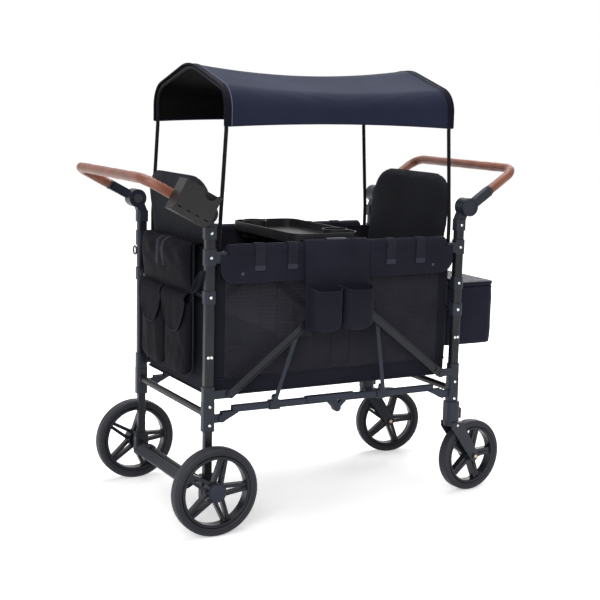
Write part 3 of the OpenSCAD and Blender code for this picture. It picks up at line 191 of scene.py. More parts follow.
frame_coat = coat("frame_coat", (0.0150, 0.0160, 0.0205), 0.36, 0.2)
dress(
    frame_coat, "rear_posts", "rear_legs", "rear_cross_tubes", "front_posts", "front_cross_tubes",
    "rear_diagonals", "front_diagonals", "rear_axle",
)
hoop_coat = coat("hoop_coat", (0.0040, 0.0041, 0.0052), 0.5, shine=0.08)
dress(hoop_coat, "canopy_rear_hoop", "canopy_front_hoop")
rail_coat = coat("rail_coat", (0.0185, 0.0225, 0.036), 0.36, 0.2)
dress(rail_coat, "rear_bottom_rails", "front_bottom_rails", "rear_struts", "front_struts")

# Connectors: sleeves, brackets, shoes, knuckles and forks moulded from glass-filled nylon,
# with a dry satin surface.
nylon = coat("satin_nylon", (0.0165, 0.0195, 0.031), 0.40, 0.0, 0.0016, 0.0002, 0.0022)
dress(
    nylon, "rear_leg_sleeves", "rear_post_brackets", "rear_knuckle_hubs", "caster_housings",
    "front_post_brackets", "front_knuckle_hubs", "rear_shoes", "front_shoes", "rear_handle_frame",
    "front_handle_frame", "brake_pedal", "caster_fork_left", "caster_fork_right", "tray_clips",
)
button_nylon = coat("button_nylon", (0.045, 0.047, 0.055), 0.5)
dress(
    button_nylon, "rear_button_left", "rear_button_right", "front_button_left",
    "front_button_right", "caster_lock_left", "caster_lock_right",
)

# Rivets and bolt heads: bright zinc-plated steel, turned and set cold where the folding links
# are joined to each other and to their brackets.
zinc = coat("bright_zinc", (0.62, 0.62, 0.60), 0.28, 1.0, 0.0004, 0.00002, 0.0006)
dress(zinc, "rear_rivets", "front_rivets")

# Wheels: solid foam-rubber tyres on moulded spoked rims, larger behind than in front, with two
# fine grooves round the side wall of each tyre.
WHEELS = {
    "rear_{}_left": ((-0.45, 0.33, 0.137), (0, 1, 0), 0.137),
    "rear_{}_right": ((-0.45, -0.33, 0.137), (0, -1, 0), 0.137),
    "front_{}_left": ((0.536077, 0.253704, 0.121), (0.207912, 0.978148, 0), 0.121),
    "front_{}_right": ((0.537518, -0.262801, 0.121), (0.104528, -0.994522, 0), 0.121),
}


def tyre_rubber(name, centre, axle, radius):
    """Foam rubber with two fine grooves round the side wall, drawn by the distance from the axle: cut in
    the bump, and darkened in the colour as painted shade.
    """
    finish = coat(name, (0.026, 0.0268, 0.034), 0.55, 0.0, 0.0022, 0.0003, 0.003)
    tree = finish.node_tree
    shader = tree.nodes["Principled BSDF"]
    place = add(tree, "TexCoord").outputs["Object"]
    arm = add_in_order(tree, "VectorMath", place, centre, operation="SUBTRACT").outputs[0]
    cross = add_in_order(tree, "VectorMath", arm, axle, operation="CROSS_PRODUCT").outputs[0]
    away = add_in_order(tree, "VectorMath", cross, operation="LENGTH").outputs["Value"]
    at = add(tree, "MapRange", Value=away, From_Min=radius - 0.022, From_Max=radius - 0.008)
    grooves = add(tree, "ValToRGB", Fac=at.outputs[0])
    ramp = grooves.color_ramp
    ramp.elements[0].color = (1, 1, 1, 1)
    for position, level in ((0.2, 1), (0.28, 0.2), (0.36, 1), (0.62, 1), (0.70, 0.2), (0.78, 1)):
        ramp.elements.new(position).color = (level, level, level, 1)
    tint, bumps = (shader.inputs[key].links[0].from_socket for key in ("Base Color", "Normal"))
    # Painted shade: the colour is darkened in the grooves.
    darker = add_in_order(tree, "MixRGB", 1.0, tint, grooves.outputs[0])
    darker.blend_type = "MULTIPLY"
    cut = add(tree, "Bump", Height=grooves.outputs[0], Distance=0.0012, Normal=bumps)
    plug_named(tree, shader, Base_Color=darker.outputs[0], Normal=cut.outputs[0])
    return finish


for name, (centre, axle, radius) in WHEELS.items():
    dress(tyre_rubber(name.format("rubber"), centre, axle, radius), name.format("tyre"))
rim_plastic = coat("rim_plastic", (0.0100, 0.0110, 0.0170), 0.27, 0.0, 0.002, 0.0001, 0.0018)
dress(rim_plastic, "rear_rim_left", "rear_rim_right", "front_rim_left", "front_rim_right")

# Tray and console: both moulded from plastic, the snack tray with a smooth glossy surface and
# the console with a duller one of finer and deeper grain.
tray_plastic = coat("tray_plastic", (0.016, 0.0165, 0.019), 0.33, 0.0, 0.002, 0.0001, 0.002)
dress(tray_plastic, "snack_tray")
console_plastic = coat("console_plastic", (0.0150, 0.0138, 0.0138), 0.42, 0.0, 0.0013, 0.0003, 0.002)
dress(console_plastic, "console")

# Leather grips: a strip of brown hide glued round the handle tube, with its seam under the
# bar, and a dark ferrule over each end.
def over_grid(name, points, round_u=False, round_v=False, caps=False):
    """Mesh over a grid of points: one face a cell, joined where a direction is round.
    The UV map holds the lengths along both directions of the grid, in metres."""
    rows, cols = points.shape[:2]
    full = points
    index = np.arange(rows * cols).reshape(rows, cols)
    if round_u:
        full = np.concatenate([full, full[:1]], 0)
        index = np.concatenate([index, index[:1]], 0)
    if round_v:
        full = np.concatenate([full, full[:, :1]], 1)
        index = np.concatenate([index, index[:, :1]], 1)
    steps_u = np.linalg.norm(np.diff(full, axis=0), axis=2)
    steps_v = np.linalg.norm(np.diff(full, axis=1), axis=2)
    lengths = np.zeros(full.shape[:2] + (2,))
    lengths[1:, :, 0] = np.cumsum(steps_u, 0)
    lengths[:, 1:, 1] = np.cumsum(steps_v, 1)

    def corners(of):
        """The four corners of every cell, in order round it."""
        return np.stack([of[:-1, :-1], of[1:, :-1], of[1:, 1:], of[:-1, 1:]], 2)

    faces = corners(index).reshape(-1, 4).tolist()
    uv = corners(lengths).reshape(-1, 2)
    if caps:
        faces += [index[0, :cols][::-1].tolist(), index[-1, :cols].tolist()]
        uv = np.concatenate([uv, np.zeros((2 * cols, 2))])
    mesh = bpy.data.meshes.new(name)
    mesh.from_pydata(points.reshape(-1, 3).tolist(), [], faces)
    mesh.uv_layers.new(name="cloth").data.foreach_set("uv", uv.astype(np.float32).ravel())
    mesh.polygons.foreach_set("use_smooth", np.ones(len(faces), bool))
    return mesh


def tidied(mesh):
    """Merges points that meet and turns the faces of a closed shape outwards."""
    work = bmesh.new()
    work.from_mesh(mesh)
    bmesh.ops.remove_doubles(work, verts=work.verts, dist=1e-6)
    bmesh.ops.recalc_face_normals(work, faces=work.faces)
    work.to_mesh(mesh)
    work.free()
    return mesh


def carried(path, profile, side):
    """Grid of a profile carried along a path: its first number is laid along side, its second
    along side crossed with the path's direction."""
    way = np.gradient(path, axis=0)
    way /= np.linalg.norm(way, axis=1, keepdims=True)
    side = np.broadcast_to(np.asarray(side, float), path.shape)
    side = side - (side * way).sum(1, keepdims=True) * way
    side = side / np.linalg.norm(side, axis=1, keepdims=True)
    lift = np.cross(side, way)
    profile = np.broadcast_to(profile, (len(path),) + profile.shape[-2:])
    return path[:, None] + side[:, None] * profile[..., :1] + lift[:, None] * profile[..., 1:]


def arc(centre, radius, turn):
    """Points about a centre at a radius and at the angles of turn."""
    return np.stack([centre[0] + radius * np.cos(turn), centre[1] + radius * np.sin(turn)], 1)


def circle(radius, count):
    """Points round a circle."""
    return arc((0, 0), radius, np.linspace(0, 2 * np.pi, count, endpoint=False))


def fit_on(name, mesh, finish, body, slot, *nodes):
    """Puts a finished mesh on the wagon: its finish, the body it moves with and the solids that it
    stands for. Its slot argument is not used."""
    piece = bpy.data.objects.new(name, mesh)
    bpy.context.collection.objects.link(piece)
    mesh.materials.append(finish)
    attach(piece, body)
    if nodes:
        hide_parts(*nodes)
    return piece


def hide_leather(name, colour):
    """Grained leather: small cells in the bump, worn lighter and darker patches in the colour."""
    finish, tree, shader = new_finish(name, Coat_Weight=0.15, Coat_Roughness=0.35)
    place = add(tree, "TexCoord").outputs["Object"]
    cells = add(tree, "TexVoronoi", Vector=place, Scale=650.0)
    pores = add(tree, "TexNoise", Vector=place, Scale=1400.0, Detail=3.0).outputs[0]
    broad = add(tree, "TexNoise", Vector=place, Scale=22.0, Detail=4.0).outputs[0]
    tint = mottled(tree, broad, colour, 0.72, 1.2, 0.72)
    gloss = add(tree, "MapRange", Value=pores, To_Min=0.36, To_Max=0.56)
    height = add_in_order(tree, "Math", cells.outputs["Distance"], pores, operation="ADD")
    bumps = add(tree, "Bump", Height=height.outputs[0], Distance=0.0003, Strength=0.7)
    plug_named(tree, shader, Base_Color=tint, Roughness=gloss.outputs[0], Normal=bumps.outputs[0])
    return finish


brown_leather = hide_leather("brown_leather", (0.200, 0.058, 0.029))
KNUCKLE_X, KNUCKLE_Z = 0.469, 0.973
ARM_Y, REACH, BEND, GRIP_START, GRIP_R = 0.2951, 0.222, 0.048, 0.0922, 0.0153
FERRULE = np.array([
    (-0.0002, 0.0102), (0.0002, 0.0160), (0.001, 0.0166), (0.007, 0.0166), (0.008, 0.0160), (0.0082, 0.0140),
])


def grip_line(end, rise):
    """Centre line of a handle bar as (distance out, across): an arm, a quarter bend, the cross
    bar, a bend and an arm, tilted up by rise about the knuckle at an end of the wagon."""
    arm = np.linspace(GRIP_START, REACH - BEND, 8)
    turn = np.linspace(0, np.pi / 2, 14)[1:]
    out = np.concatenate([arm, REACH - BEND + BEND * np.sin(turn)])
    across = np.concatenate([0 * arm + ARM_Y, ARM_Y - BEND + BEND * np.cos(turn)])
    bar = np.linspace(ARM_Y - BEND, -(ARM_Y - BEND), 40)[1:-1]
    out = np.concatenate([out, 0 * bar + REACH, out[::-1]])
    across = np.concatenate([across, bar, -across[::-1]])
    tilt = math.radians(rise)
    return np.stack(
        [end * (KNUCKLE_X + out * math.cos(tilt)), across, KNUCKLE_Z + out * math.sin(tilt)], 1
    )


def grip(end, rise, body, node):
    """Leather sleeve on a handle bar: a round section with a shallow seam notch, and ferrules."""
    path = grip_line(end, rise)
    turn = np.linspace(0, 2 * np.pi, 40, endpoint=False)
    notch = 0.0007 * np.exp(-(((turn - 1.5 * np.pi) / 0.12) ** 2))
    along = np.linspace(0, 1, len(path))[:, None]
    swell = 0.00025 * np.sin(47 * along + 2 * turn) + 0.0002 * np.sin(83 * along - turn)
    radius = GRIP_R - notch + swell
    profile = np.stack([radius * np.cos(turn), radius * np.sin(turn)], 2)
    flat = np.array([-end * math.sin(math.radians(rise)), 0, math.cos(math.radians(rise))])
    mesh = over_grid(body + "_leather", carried(path, profile, flat), False, True, True)
    fit_on(body + "_leather", tidied(mesh), brown_leather, body, "leather", node)
    for tag, part in (("left", path[:2]), ("right", path[:-3:-1])):
        step = (part[1] - part[0]) / np.linalg.norm(part[1] - part[0])
        shape = FERRULE[:, 1, None, None] * circle(1.0, 32)
        stations = part[0] + FERRULE[:, :1] * step
        mesh = over_grid(body, carried(stations, shape, flat), False, True)
        fit_on(body + "_ferrule_" + tag, tidied(mesh), nylon, body, "dark_plastic")


grip(-1, 28, "rear_handle", "rear_handle_grip")
grip(1, 34, "front_handle", "front_handle_grip")

# Hub caps and bolts: a navy cap snapped over each rear hub, a brass hexagon bolt through each
# front fork and a bright screw at the top of its blades.
brass = coat("brass_bolt", (0.46, 0.33, 0.20), 0.3, 1.0, 0.0004, 0.00002, 0.0006)
cap_plastic = coat("cap_plastic", (0.0165, 0.0200, 0.0370), 0.36, 0.0, 0.002, 0.0001, 0.001)


def turned_disc(name, centre, axle, rings, finish, body, slot, count=48):
    """Disc turned about an axle: rings of (radius, distance along the axle), closed at its middle."""
    axle = np.asarray(axle, float)
    level = np.cross(axle, (0, 0, 1))
    radius, distance = np.array(rings).T
    path = np.asarray(centre) + distance[:, None] * axle
    spokes = circle(1.0, count) @ np.stack([level, (0, 0, 1)])
    points = path[:, None] + radius[:, None, None] * spokes
    return fit_on(name, tidied(over_grid(name, points, False, True)), finish, body, slot)


HUB_CAP = [(0, 0.0202), (0.0262, 0.0202), (0.0268, 0.0220), (0.0256, 0.0233), (0.0200, 0.0239), (0, 0.0242)]
BOLT = [(0, 0.0345), (0.0068, 0.0345), (0.0068, 0.0378), (0.0056, 0.0386), (0, 0.0386)]
SCREW = [(0, 0.0296), (0.0046, 0.0296), (0.0042, 0.0312), (0.0020, 0.0318), (0, 0.0318)]
SCREW_BACK, SCREW_UP = 0.081, 0.117
for tag in ("left", "right"):
    centre, axle, _ = WHEELS["rear_{}_" + tag]
    turned_disc("hub_cap_" + tag, centre, axle, HUB_CAP, cap_plastic, "rear_wheel_" + tag, "rim")
    centre, axle, _ = WHEELS["front_{}_" + tag]
    ahead = np.array([abs(axle[1]), -axle[0] * np.sign(axle[1]), 0])
    high = np.array(centre) - SCREW_BACK * ahead + np.array([0, 0, SCREW_UP])
    for part, sign in (("out", 1), ("in", -1)):
        out = sign * np.array(axle)
        turned_disc(f"axle_bolt_{tag}_{part}", centre, out, BOLT, brass, "caster_" + tag, "steel", 6)
        turned_disc(f"blade_screw_{tag}_{part}", high, out, SCREW, zinc, "caster_" + tag, "steel", 16)

# Canopy: one piece of woven polyester stretched over the two hoops, near black on its inner side
# as painted shade under it, with a dark band sewn round each hoop, a piped seam, pale at the rear
# as a painted highlight, and a turned hem. It dips a little between the hoops.
def woven(name, colour, pitch=0.0011, rough=0.72, sheen=0.04, fold=0.35, spread=0.25, source="UV"):
    """Plain weave on the piece's own UV lengths, or a twill on its place: two crossed waves in
    colour and bump, with broad soft creases below them."""
    finish, tree, shader = new_finish(
        name, Sheen_Weight=sheen, Sheen_Roughness=0.45, Sheen_Tint=(0.55, 0.6, 0.75, 1), Roughness=rough,
        Specular_IOR_Level=0.06,
    )
    spots = add(tree, "TexCoord").outputs
    threads = []
    for direction in ("X", "Y") if source == "UV" else ("Y", "DIAGONAL"):
        wave = add(tree, "TexWave", Vector=spots[source], Scale=0.05 / pitch * 6.283, Distortion=0.6)
        wave.bands_direction = direction
        threads.append(wave.outputs["Fac"])
    cross = add_in_order(tree, "Math", *threads, operation="MULTIPLY").outputs[0]
    broad = add(tree, "TexNoise", Vector=spots["Object"], Scale=7.0, Detail=5.0).outputs[0]
    mixed = add_in_order(tree, "Math", cross, 0.3, broad, operation="MULTIPLY_ADD")
    tint = mottled(tree, mixed.outputs[0], colour, 1 - spread, 1 + spread, 0.9)
    soft = add(tree, "Bump", Height=broad, Distance=0.012, Strength=fold)
    weave = add(tree, "Bump", Height=cross, Distance=0.0003, Strength=0.5, Normal=soft.outputs[0])
    plug_named(tree, shader, Base_Color=tint, Normal=weave.outputs[0])
    return finish


canopy_cloth = woven("canopy_cloth", (0.0162, 0.0200, 0.0400), sheen=0.06, fold=0.18)
piping_cloth = woven("piping_cloth", (0.018, 0.0195, 0.029), pitch=0.0008, fold=0.05)
# Near-black cloth for the canopy's inner side: painted shade under the canopy.
canopy_underside_shade = woven("canopy_underside_shade", (0.0015, 0.0015, 0.0018), sheen=0.0, fold=0.18)
end_cloth = woven("end_cloth", (0.0062, 0.0066, 0.0125), sheen=0.0, fold=0.1)
# Pale cloth for the rear seam's piping: a painted highlight along the seam.
painted_highlight_piping = woven("painted_highlight_piping", (0.125, 0.130, 0.190), pitch=0.0008, fold=0.05)
HOOP_X, HOOP_Y, HEM_Z, PEAK_Z = 0.398, 0.265, 1.228, 1.402
SHOULDER_Y, SHOULDER_Z, SHOULDER_R = 0.195, 1.2774, 0.070
RIDGE_Z, RIDGE_R, ROOF = 1.222, 0.180, math.radians(17)
RIDGE_SAG, HEM_RISE = 0.026, 0.010
CLOTH_OUT, TRIM_OUT, BAND_IN = 0.0085, 0.0096, 0.014


def evened(points, count):
    """The same line with its points spread evenly along its length."""
    steps = np.linalg.norm(np.diff(points, axis=0), axis=1)
    along = np.concatenate([[0], np.cumsum(steps)])
    wanted = np.linspace(0, along[-1], count)
    return np.stack([np.interp(wanted, along, column) for column in points.T], 1)


def hoop_section(out, count):
    """Section over a hoop at a distance out: wall, shoulder arc, sloping roof and ridge arc, from
    the near hem to the far one."""
    shoulder = np.linspace(0, np.pi / 2 - ROOF, 20)
    ridge = np.linspace(np.pi / 2 - ROOF, np.pi / 2, 12)
    half = np.concatenate([
        [[HOOP_Y + out, HEM_Z]],
        arc((SHOULDER_Y, SHOULDER_Z), SHOULDER_R + out, shoulder),
        arc((0, RIDGE_Z), RIDGE_R + out, ridge),
    ])
    return evened(np.concatenate([half * (-1, 1), half[-2::-1]]), count)


def canopy_grid(x, out, count):
    """Canopy cloth: the hoop section repeated along x, its ridge sinking and its hem rising with
    the square of the distance from the hoops, and faint tension folds from the shoulders."""
    section = hoop_section(out, count)
    y, z = section[None, :, 0], section[None, :, 1]
    x = np.asarray(x)[:, None]
    sag = np.clip(1 - (x / (HOOP_X - 0.007)) ** 2, 0, None)
    up = (z - HEM_Z) / (PEAK_Z - HEM_Z)
    fold = 0.0016 * np.sin(95 * up + 26 * np.abs(x)) * np.sin(np.pi * np.clip(up, 0, 1)) * sag
    lower = sag * (RIDGE_SAG * up - HEM_RISE * np.clip(1 - 4 * up, 0, None)) + np.abs(fold)
    shape = np.broadcast_arrays(x, y * (1 - 0.012 * sag * (1 - up)), z - lower)
    return np.stack(shape, 2)


def stiffened(piece, thickness, offset=-1):
    """Gives a cloth piece its thickness: inwards from the surface that shows, or to both sides at 0."""
    wall = piece.modifiers.new("cloth", "SOLIDIFY")
    wall.thickness = thickness
    wall.offset = offset
    return piece


def gathered(pieces):
    """Gives each cloth piece a mesh of its own."""
    for piece in pieces:
        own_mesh(piece)


def along_path(name, path, profile, side, finish, body="rear_frame", slot="basket_fabric", closed=False):
    """Piece with a profile carried along a path: capped at both ends, or joined to itself."""
    if closed:
        grid = carried(np.concatenate([path[-1:], path, path[:1]]), profile, side)[1:-1]
    else:
        grid = carried(path, profile, side)
    return fit_on(name, tidied(over_grid(name, grid, closed, True, not closed)), finish, body, slot)


def cord(name, path, radius, side, finish=piping_cloth, count=8, **place):
    """Round cord along a path."""
    return along_path(name, path, circle(radius, count), side, finish, **place)


END_X = HOOP_X + 0.009
CANOPY = {"body": "canopy_rear", "slot": "canopy_fabric"}
sheet_points = canopy_grid(np.linspace(-END_X, END_X, 97), CLOTH_OUT, 121)
canopy = fit_on(
    "canopy_sheet", over_grid("canopy_sheet", sheet_points), canopy_cloth, *CANOPY.values(), "canopy_cover"
)
# The inner shell of the sheet takes the near-black painted shade.
canopy.data.materials.append(canopy_underside_shade)
stiffened(canopy, 0.0014, 0).modifiers["cloth"].material_offset = 1
canopy_trim = []
for tag, x in (("rear", -END_X), ("front", END_X)):
    edge = canopy_grid([x], CLOTH_OUT, 161)[0]
    canopy_trim.append(cord("canopy_piping_" + tag, edge, 0.0032, (1, 0, 0), end_cloth, 10, **CANOPY))
# The rear seam's piping is pale as a painted highlight; the front one is in the canopy cloth.
for tag, sign, finish, radius in (("rear", -1, painted_highlight_piping, 0.0017), ("front", 1, canopy_cloth, 0.0011)):
    inner = sign * (HOOP_X - BAND_IN)
    seam = canopy_grid([inner], TRIM_OUT, 161)[0]
    canopy_trim.append(cord("canopy_seam_" + tag, seam, radius, (1, 0, 0), finish, 6, **CANOPY))
    rows = np.linspace(*sorted((inner, sign * END_X)), 8)
    mesh = over_grid("band", canopy_grid(rows, TRIM_OUT, 121))
    band = fit_on("canopy_band_" + tag, mesh, end_cloth, *CANOPY.values())
    canopy_trim.append(stiffened(band, 0.0008, 0))
for tag, hem in (("near", sheet_points[:, 0]), ("far", sheet_points[:, -1])):
    canopy_trim.append(cord("canopy_hem_" + tag, hem, 0.0022, (0, 0, 1), canopy_cloth, **CANOPY))
gathered([canopy] + canopy_trim)

# Basket: a tub of coated polyester with a solid floor, a solid band round its foot, solid
# corners, and a window of dark netting in each long side, all bound with narrow piping.
basket_cloth = woven("basket_cloth", (0.0106, 0.0108, 0.0165), fold=0.45)
band_cloth = woven("band_cloth", (0.0138, 0.0138, 0.0215), fold=0.5)
WALL_X, WALL_Y, FOOT_Z, RIM_Z, CORNER = 0.434, 0.2525, 0.400, 0.862, 0.024
TUB_COUNT, TUB_SEED, BULGE, BAND_Z, WINDOW_X = 360, 3, 0.003, 0.462, 0.395
LINED = 0.0016
GATHER_REAR, GATHER_KEEP = (-0.45, 0, 0.6), 0.41
SIDES = (("near", -1), ("far", 1))


def sewn(name, mesh, finish, *nodes):
    """Puts cloth on the rear frame."""
    return fit_on(name, mesh, finish, "rear_frame", "basket_fabric", *nodes)


def netting(name, colour, pitch=0.0017):
    """Knitted mesh on the piece's UV lengths: round holes, clear between dark threads."""
    finish, tree, shader = new_finish(name, Roughness=0.6, Specular_IOR_Level=0.1)
    spots = add(tree, "TexCoord").outputs
    holes = add(tree, "TexVoronoi", Vector=spots["UV"], Scale=1 / pitch, Randomness=0.0).outputs["Distance"]
    thread = add(tree, "MapRange", Value=holes, From_Min=0.34, From_Max=0.42).outputs[0]
    broad = add(tree, "TexNoise", Vector=spots["Object"], Scale=6.0, Detail=4.0)
    tint = mottled(tree, broad.outputs[0], colour, 0.75, 1.3)
    cover = add(tree, "MapRange", Value=thread, To_Min=0.88, To_Max=1.0)
    bumps = add(tree, "Bump", Height=thread, Distance=0.0005, Strength=0.6)
    plug_named(tree, shader, Base_Color=tint, Alpha=cover.outputs[0], Normal=bumps.outputs[0])
    return finish


dark_net = netting("dark_net", (0.0192, 0.0188, 0.0270))


def waves(u, v, seed, longest=0.30, count=7):
    """Uneven hang of cloth, from about -1 to 1: a few waves of drawn direction, length and start."""
    draw = np.random.default_rng(seed)
    total = 0
    for _ in range(count):
        turn = draw.uniform(0, np.pi)
        length = draw.uniform(0.3, 1.0) * longest
        start = draw.uniform(0, 6.28)
        total = total + np.sin((u * np.cos(turn) + v * np.sin(turn)) * 6.283 / length + start)
    return total / count ** 0.5 / 1.6


def evened_ring(points, count):
    """A closed line with its points spread evenly."""
    return evened(np.concatenate([points, points[:1]]), count + 1)[:-1]


def round_box(half_x, half_y, r, steps):
    """Rounded rectangle, anticlockwise from its near side."""
    turn = np.linspace(0, np.pi / 2, steps)
    return np.concatenate([
        arc((sx * (half_x - r), sy * (half_y - r)), r, turn + (k - 1) * np.pi / 2)
        for k, (sx, sy) in enumerate(((1, -1), (1, 1), (-1, 1), (-1, -1)))
    ])


def tub_rows(heights, inset):
    """Walls of the tub at an inset: a rounded rectangle from the middle of the near side at each
    height, let out by a bulge and by small waves."""
    start = np.array([[0, -(WALL_Y - inset)]])
    corners = round_box(WALL_X - inset, WALL_Y - inset, CORNER, 10)
    line = evened_ring(np.concatenate([start, corners]), TUB_COUNT)
    way = np.roll(line, -1, 0) - np.roll(line, 1, 0)
    way /= np.linalg.norm(way, axis=1, keepdims=True)
    out = np.stack([way[:, 1], -way[:, 0]], 1)
    around = np.linspace(0, 2.74, TUB_COUNT, endpoint=False)
    heights = np.asarray(heights)[:, None]
    arch = np.sin(np.pi * ((heights - FOOT_Z) / (RIM_Z - FOOT_Z)))
    let_out = BULGE * arch ** 0.8 + 0.0022 * waves(around[None], heights, TUB_SEED) * arch
    xy = line[None] + out[None] * let_out[..., None]
    return np.concatenate([xy, np.broadcast_to(heights, let_out.shape)[..., None]], 2)


foot = tub_rows(np.linspace(FOOT_Z + 0.012, BAND_Z, 14), 0.0008)
edge_in = np.linspace(0.98, 0.0, 16)[:, None, None]
floor_rows = foot[:1] * np.array([1, 1, 0]) * edge_in + np.array([0, 0, 1]) * (
    FOOT_Z + 0.0015 + 0.008 * edge_in ** 8
)
tub = over_grid("basket_foot", np.concatenate([floor_rows[::-1], foot]), False, True)
basket_foot = stiffened(sewn("basket_foot", tidied(tub), band_cloth, "basket"), LINED)

upper = tub_rows(np.linspace(BAND_Z, RIM_Z, 60), 0.0008)
window = (np.abs(upper[0, :, 1]) > WALL_Y - 0.012) & (np.abs(upper[0, :, 0]) < WINDOW_X)


def cut_out(points, keep):
    """Mesh of the columns of a round grid that are kept, cell by cell."""
    mesh = over_grid("cut", points, False, True)
    work = bmesh.new()
    work.from_mesh(mesh)
    work.faces.ensure_lookup_table()
    cell = np.arange(len(work.faces)) % points.shape[1]
    both = keep & np.roll(keep, -1)
    gone = [work.faces[i] for i in np.flatnonzero(~both[cell])]
    bmesh.ops.delete(work, geom=gone, context="FACES")
    work.to_mesh(mesh)
    work.free()
    return mesh


plain = ~window | np.roll(~window, 1) | np.roll(~window, -1)
solid = stiffened(sewn("basket_corners", cut_out(upper, plain), basket_cloth, "basket"), LINED)
net = sewn("basket_netting", cut_out(upper, window), dark_net, "basket")
goods = [basket_foot, solid, net]
for tag, z, radius in (
    ("band", BAND_Z, 0.0016), ("foot", FOOT_Z + 0.013, 0.003), ("rim", RIM_Z - 0.003, 0.0028),
):
    line = tub_rows([z], -0.0008)[0]
    goods.append(cord("basket_binding_" + tag, line, radius, (0, 0, 1), closed=True))
seam_lines = tub_rows(np.linspace(FOOT_Z + 0.012, RIM_Z, 60), 0.0012)
for k, x in enumerate((-0.392, -0.016, 0.052, 0.392)):
    for tag, sign in SIDES:
        column = int(np.argmin(np.abs(foot[0, :, 0] - x) + 10 * (np.sign(foot[0, :, 1]) != sign)))
        goods.append(cord(f"basket_seam_{tag}_{k}", seam_lines[:, column], 0.0014, (1, 0, 0)))
gathered(goods)

# Padded rails: foam tubes in basket cloth over the two top tubes of the long sides, drawn in
# where the webbing straps hold them and pressed flat outside, where the folding links pass.
PAD_Y, PAD_Z, PAD_R, PAD_L, PRESSED = 0.272, 0.859, 0.019, 0.795, 0.0162
STRAPS = np.array([-0.290, -0.178, 0.178, 0.290])
pad_cloth = woven("pad_cloth", (0.0142, 0.0144, 0.0236), fold=0.6)
for tag, sign in SIDES:
    x = np.linspace(-PAD_L / 2, PAD_L / 2, 220)
    turn = np.linspace(0, 2 * np.pi, 36, endpoint=False)
    pinch = np.exp(-(((x[:, None] - STRAPS[None]) / 0.022) ** 2)).sum(1)
    ends = np.clip((PAD_L / 2 - np.abs(x)) / 0.010, 0, 1) ** 0.5
    radius = (PAD_R - 0.0012 * pinch)[:, None] + 0.0006 * waves(x[:, None], 0.03 * turn[None], 11, 0.12)
    radius = np.minimum(radius, PAD_R) * (0.25 + 0.75 * ends[:, None])
    path = np.stack([x, 0 * x + sign * PAD_Y, 0 * x + PAD_Z], 1)
    across = sign * np.minimum(sign * radius * np.cos(turn), PRESSED)
    profile = np.stack([across, radius * np.sin(turn)], 2)
    mesh = over_grid("pad", carried(path, profile, (0, 1, 0)), False, True, True)
    pad = sewn("rail_pad_" + tag, tidied(mesh), pad_cloth, "side_rail_pads")
    gathered([pad])

# Side flaps: a strip of basket cloth sewn to the foot of each padded rail, with round lower
# corners and a piped edge, held back by four straps of webbing with folded ends.
FLAP_X, FLAP_TOP, FLAP_LOW, FLAP_R, FLAP_Q, DOUBLED = 0.418, 0.8485, 0.762, 0.045, 0.2859, 0.0018
SNAP = [(0, 0.0008), (0.0052, 0.0008), (0.0052, 0.0018), (0.0034, 0.0026), (0, 0.0027)]
SNAP_X, SNAP_UP = (-0.350, 0.345), 0.026
STRAP_DROP = [[0.2914, 0.840], [0.2902, 0.820], [0.2900, 0.7975]]
END_Q, END_HEIGHTS = 0.2912, np.linspace(0.812, 0.7965, 12)
webbing = woven("webbing", (0.018, 0.019, 0.027), pitch=0.0016, rough=0.6, fold=0.05, spread=0.35)
strap_end = woven("strap_end", (0.036, 0.040, 0.058), pitch=0.0016, rough=0.6, fold=0.05)


def corner_in(height, r):
    """How far an edge draws in along a quarter circle above its lower corner."""
    return np.where(height < r, r - np.sqrt(np.clip(r ** 2 - (r - height) ** 2, 0, None)), 0)


def flap_points(s, d):
    """Flap at s from -1 to 1 along it and d above its lower edge: its length falls along a quarter
    circle near the lower corners, and it hangs a little proud at its foot."""
    x = s * (FLAP_X - corner_in(d, FLAP_R))
    q = FLAP_Q + 0.0010 * np.sin(np.pi * d / (FLAP_TOP - FLAP_LOW)) + 0.0005 * waves(x, d, 5, 0.2)
    return x, q, FLAP_LOW + d


def over_rail(gap, tuck, count):
    """Way of cloth over a padded rail from inside to outside, as (across, up), at a gap from the
    pad and tucked in at its inner end."""
    over = np.linspace(math.radians(150), 0, count)
    return arc((PAD_Y, PAD_Z), PAD_R + gap - tuck * np.clip(over - 2.2, 0, None), over)


def flat_strip(width, thickness, count=20):
    """Outline of a flat woven strip: a rounded bar."""
    turn = np.linspace(0, 2 * np.pi, count, endpoint=False)
    c, s = np.cos(turn), np.sin(turn)
    wide = width / 2 * np.sign(c) * np.abs(c) ** 0.25
    return np.stack([wide, thickness / 2 * np.sign(s) * np.abs(s) ** 0.5], 1)


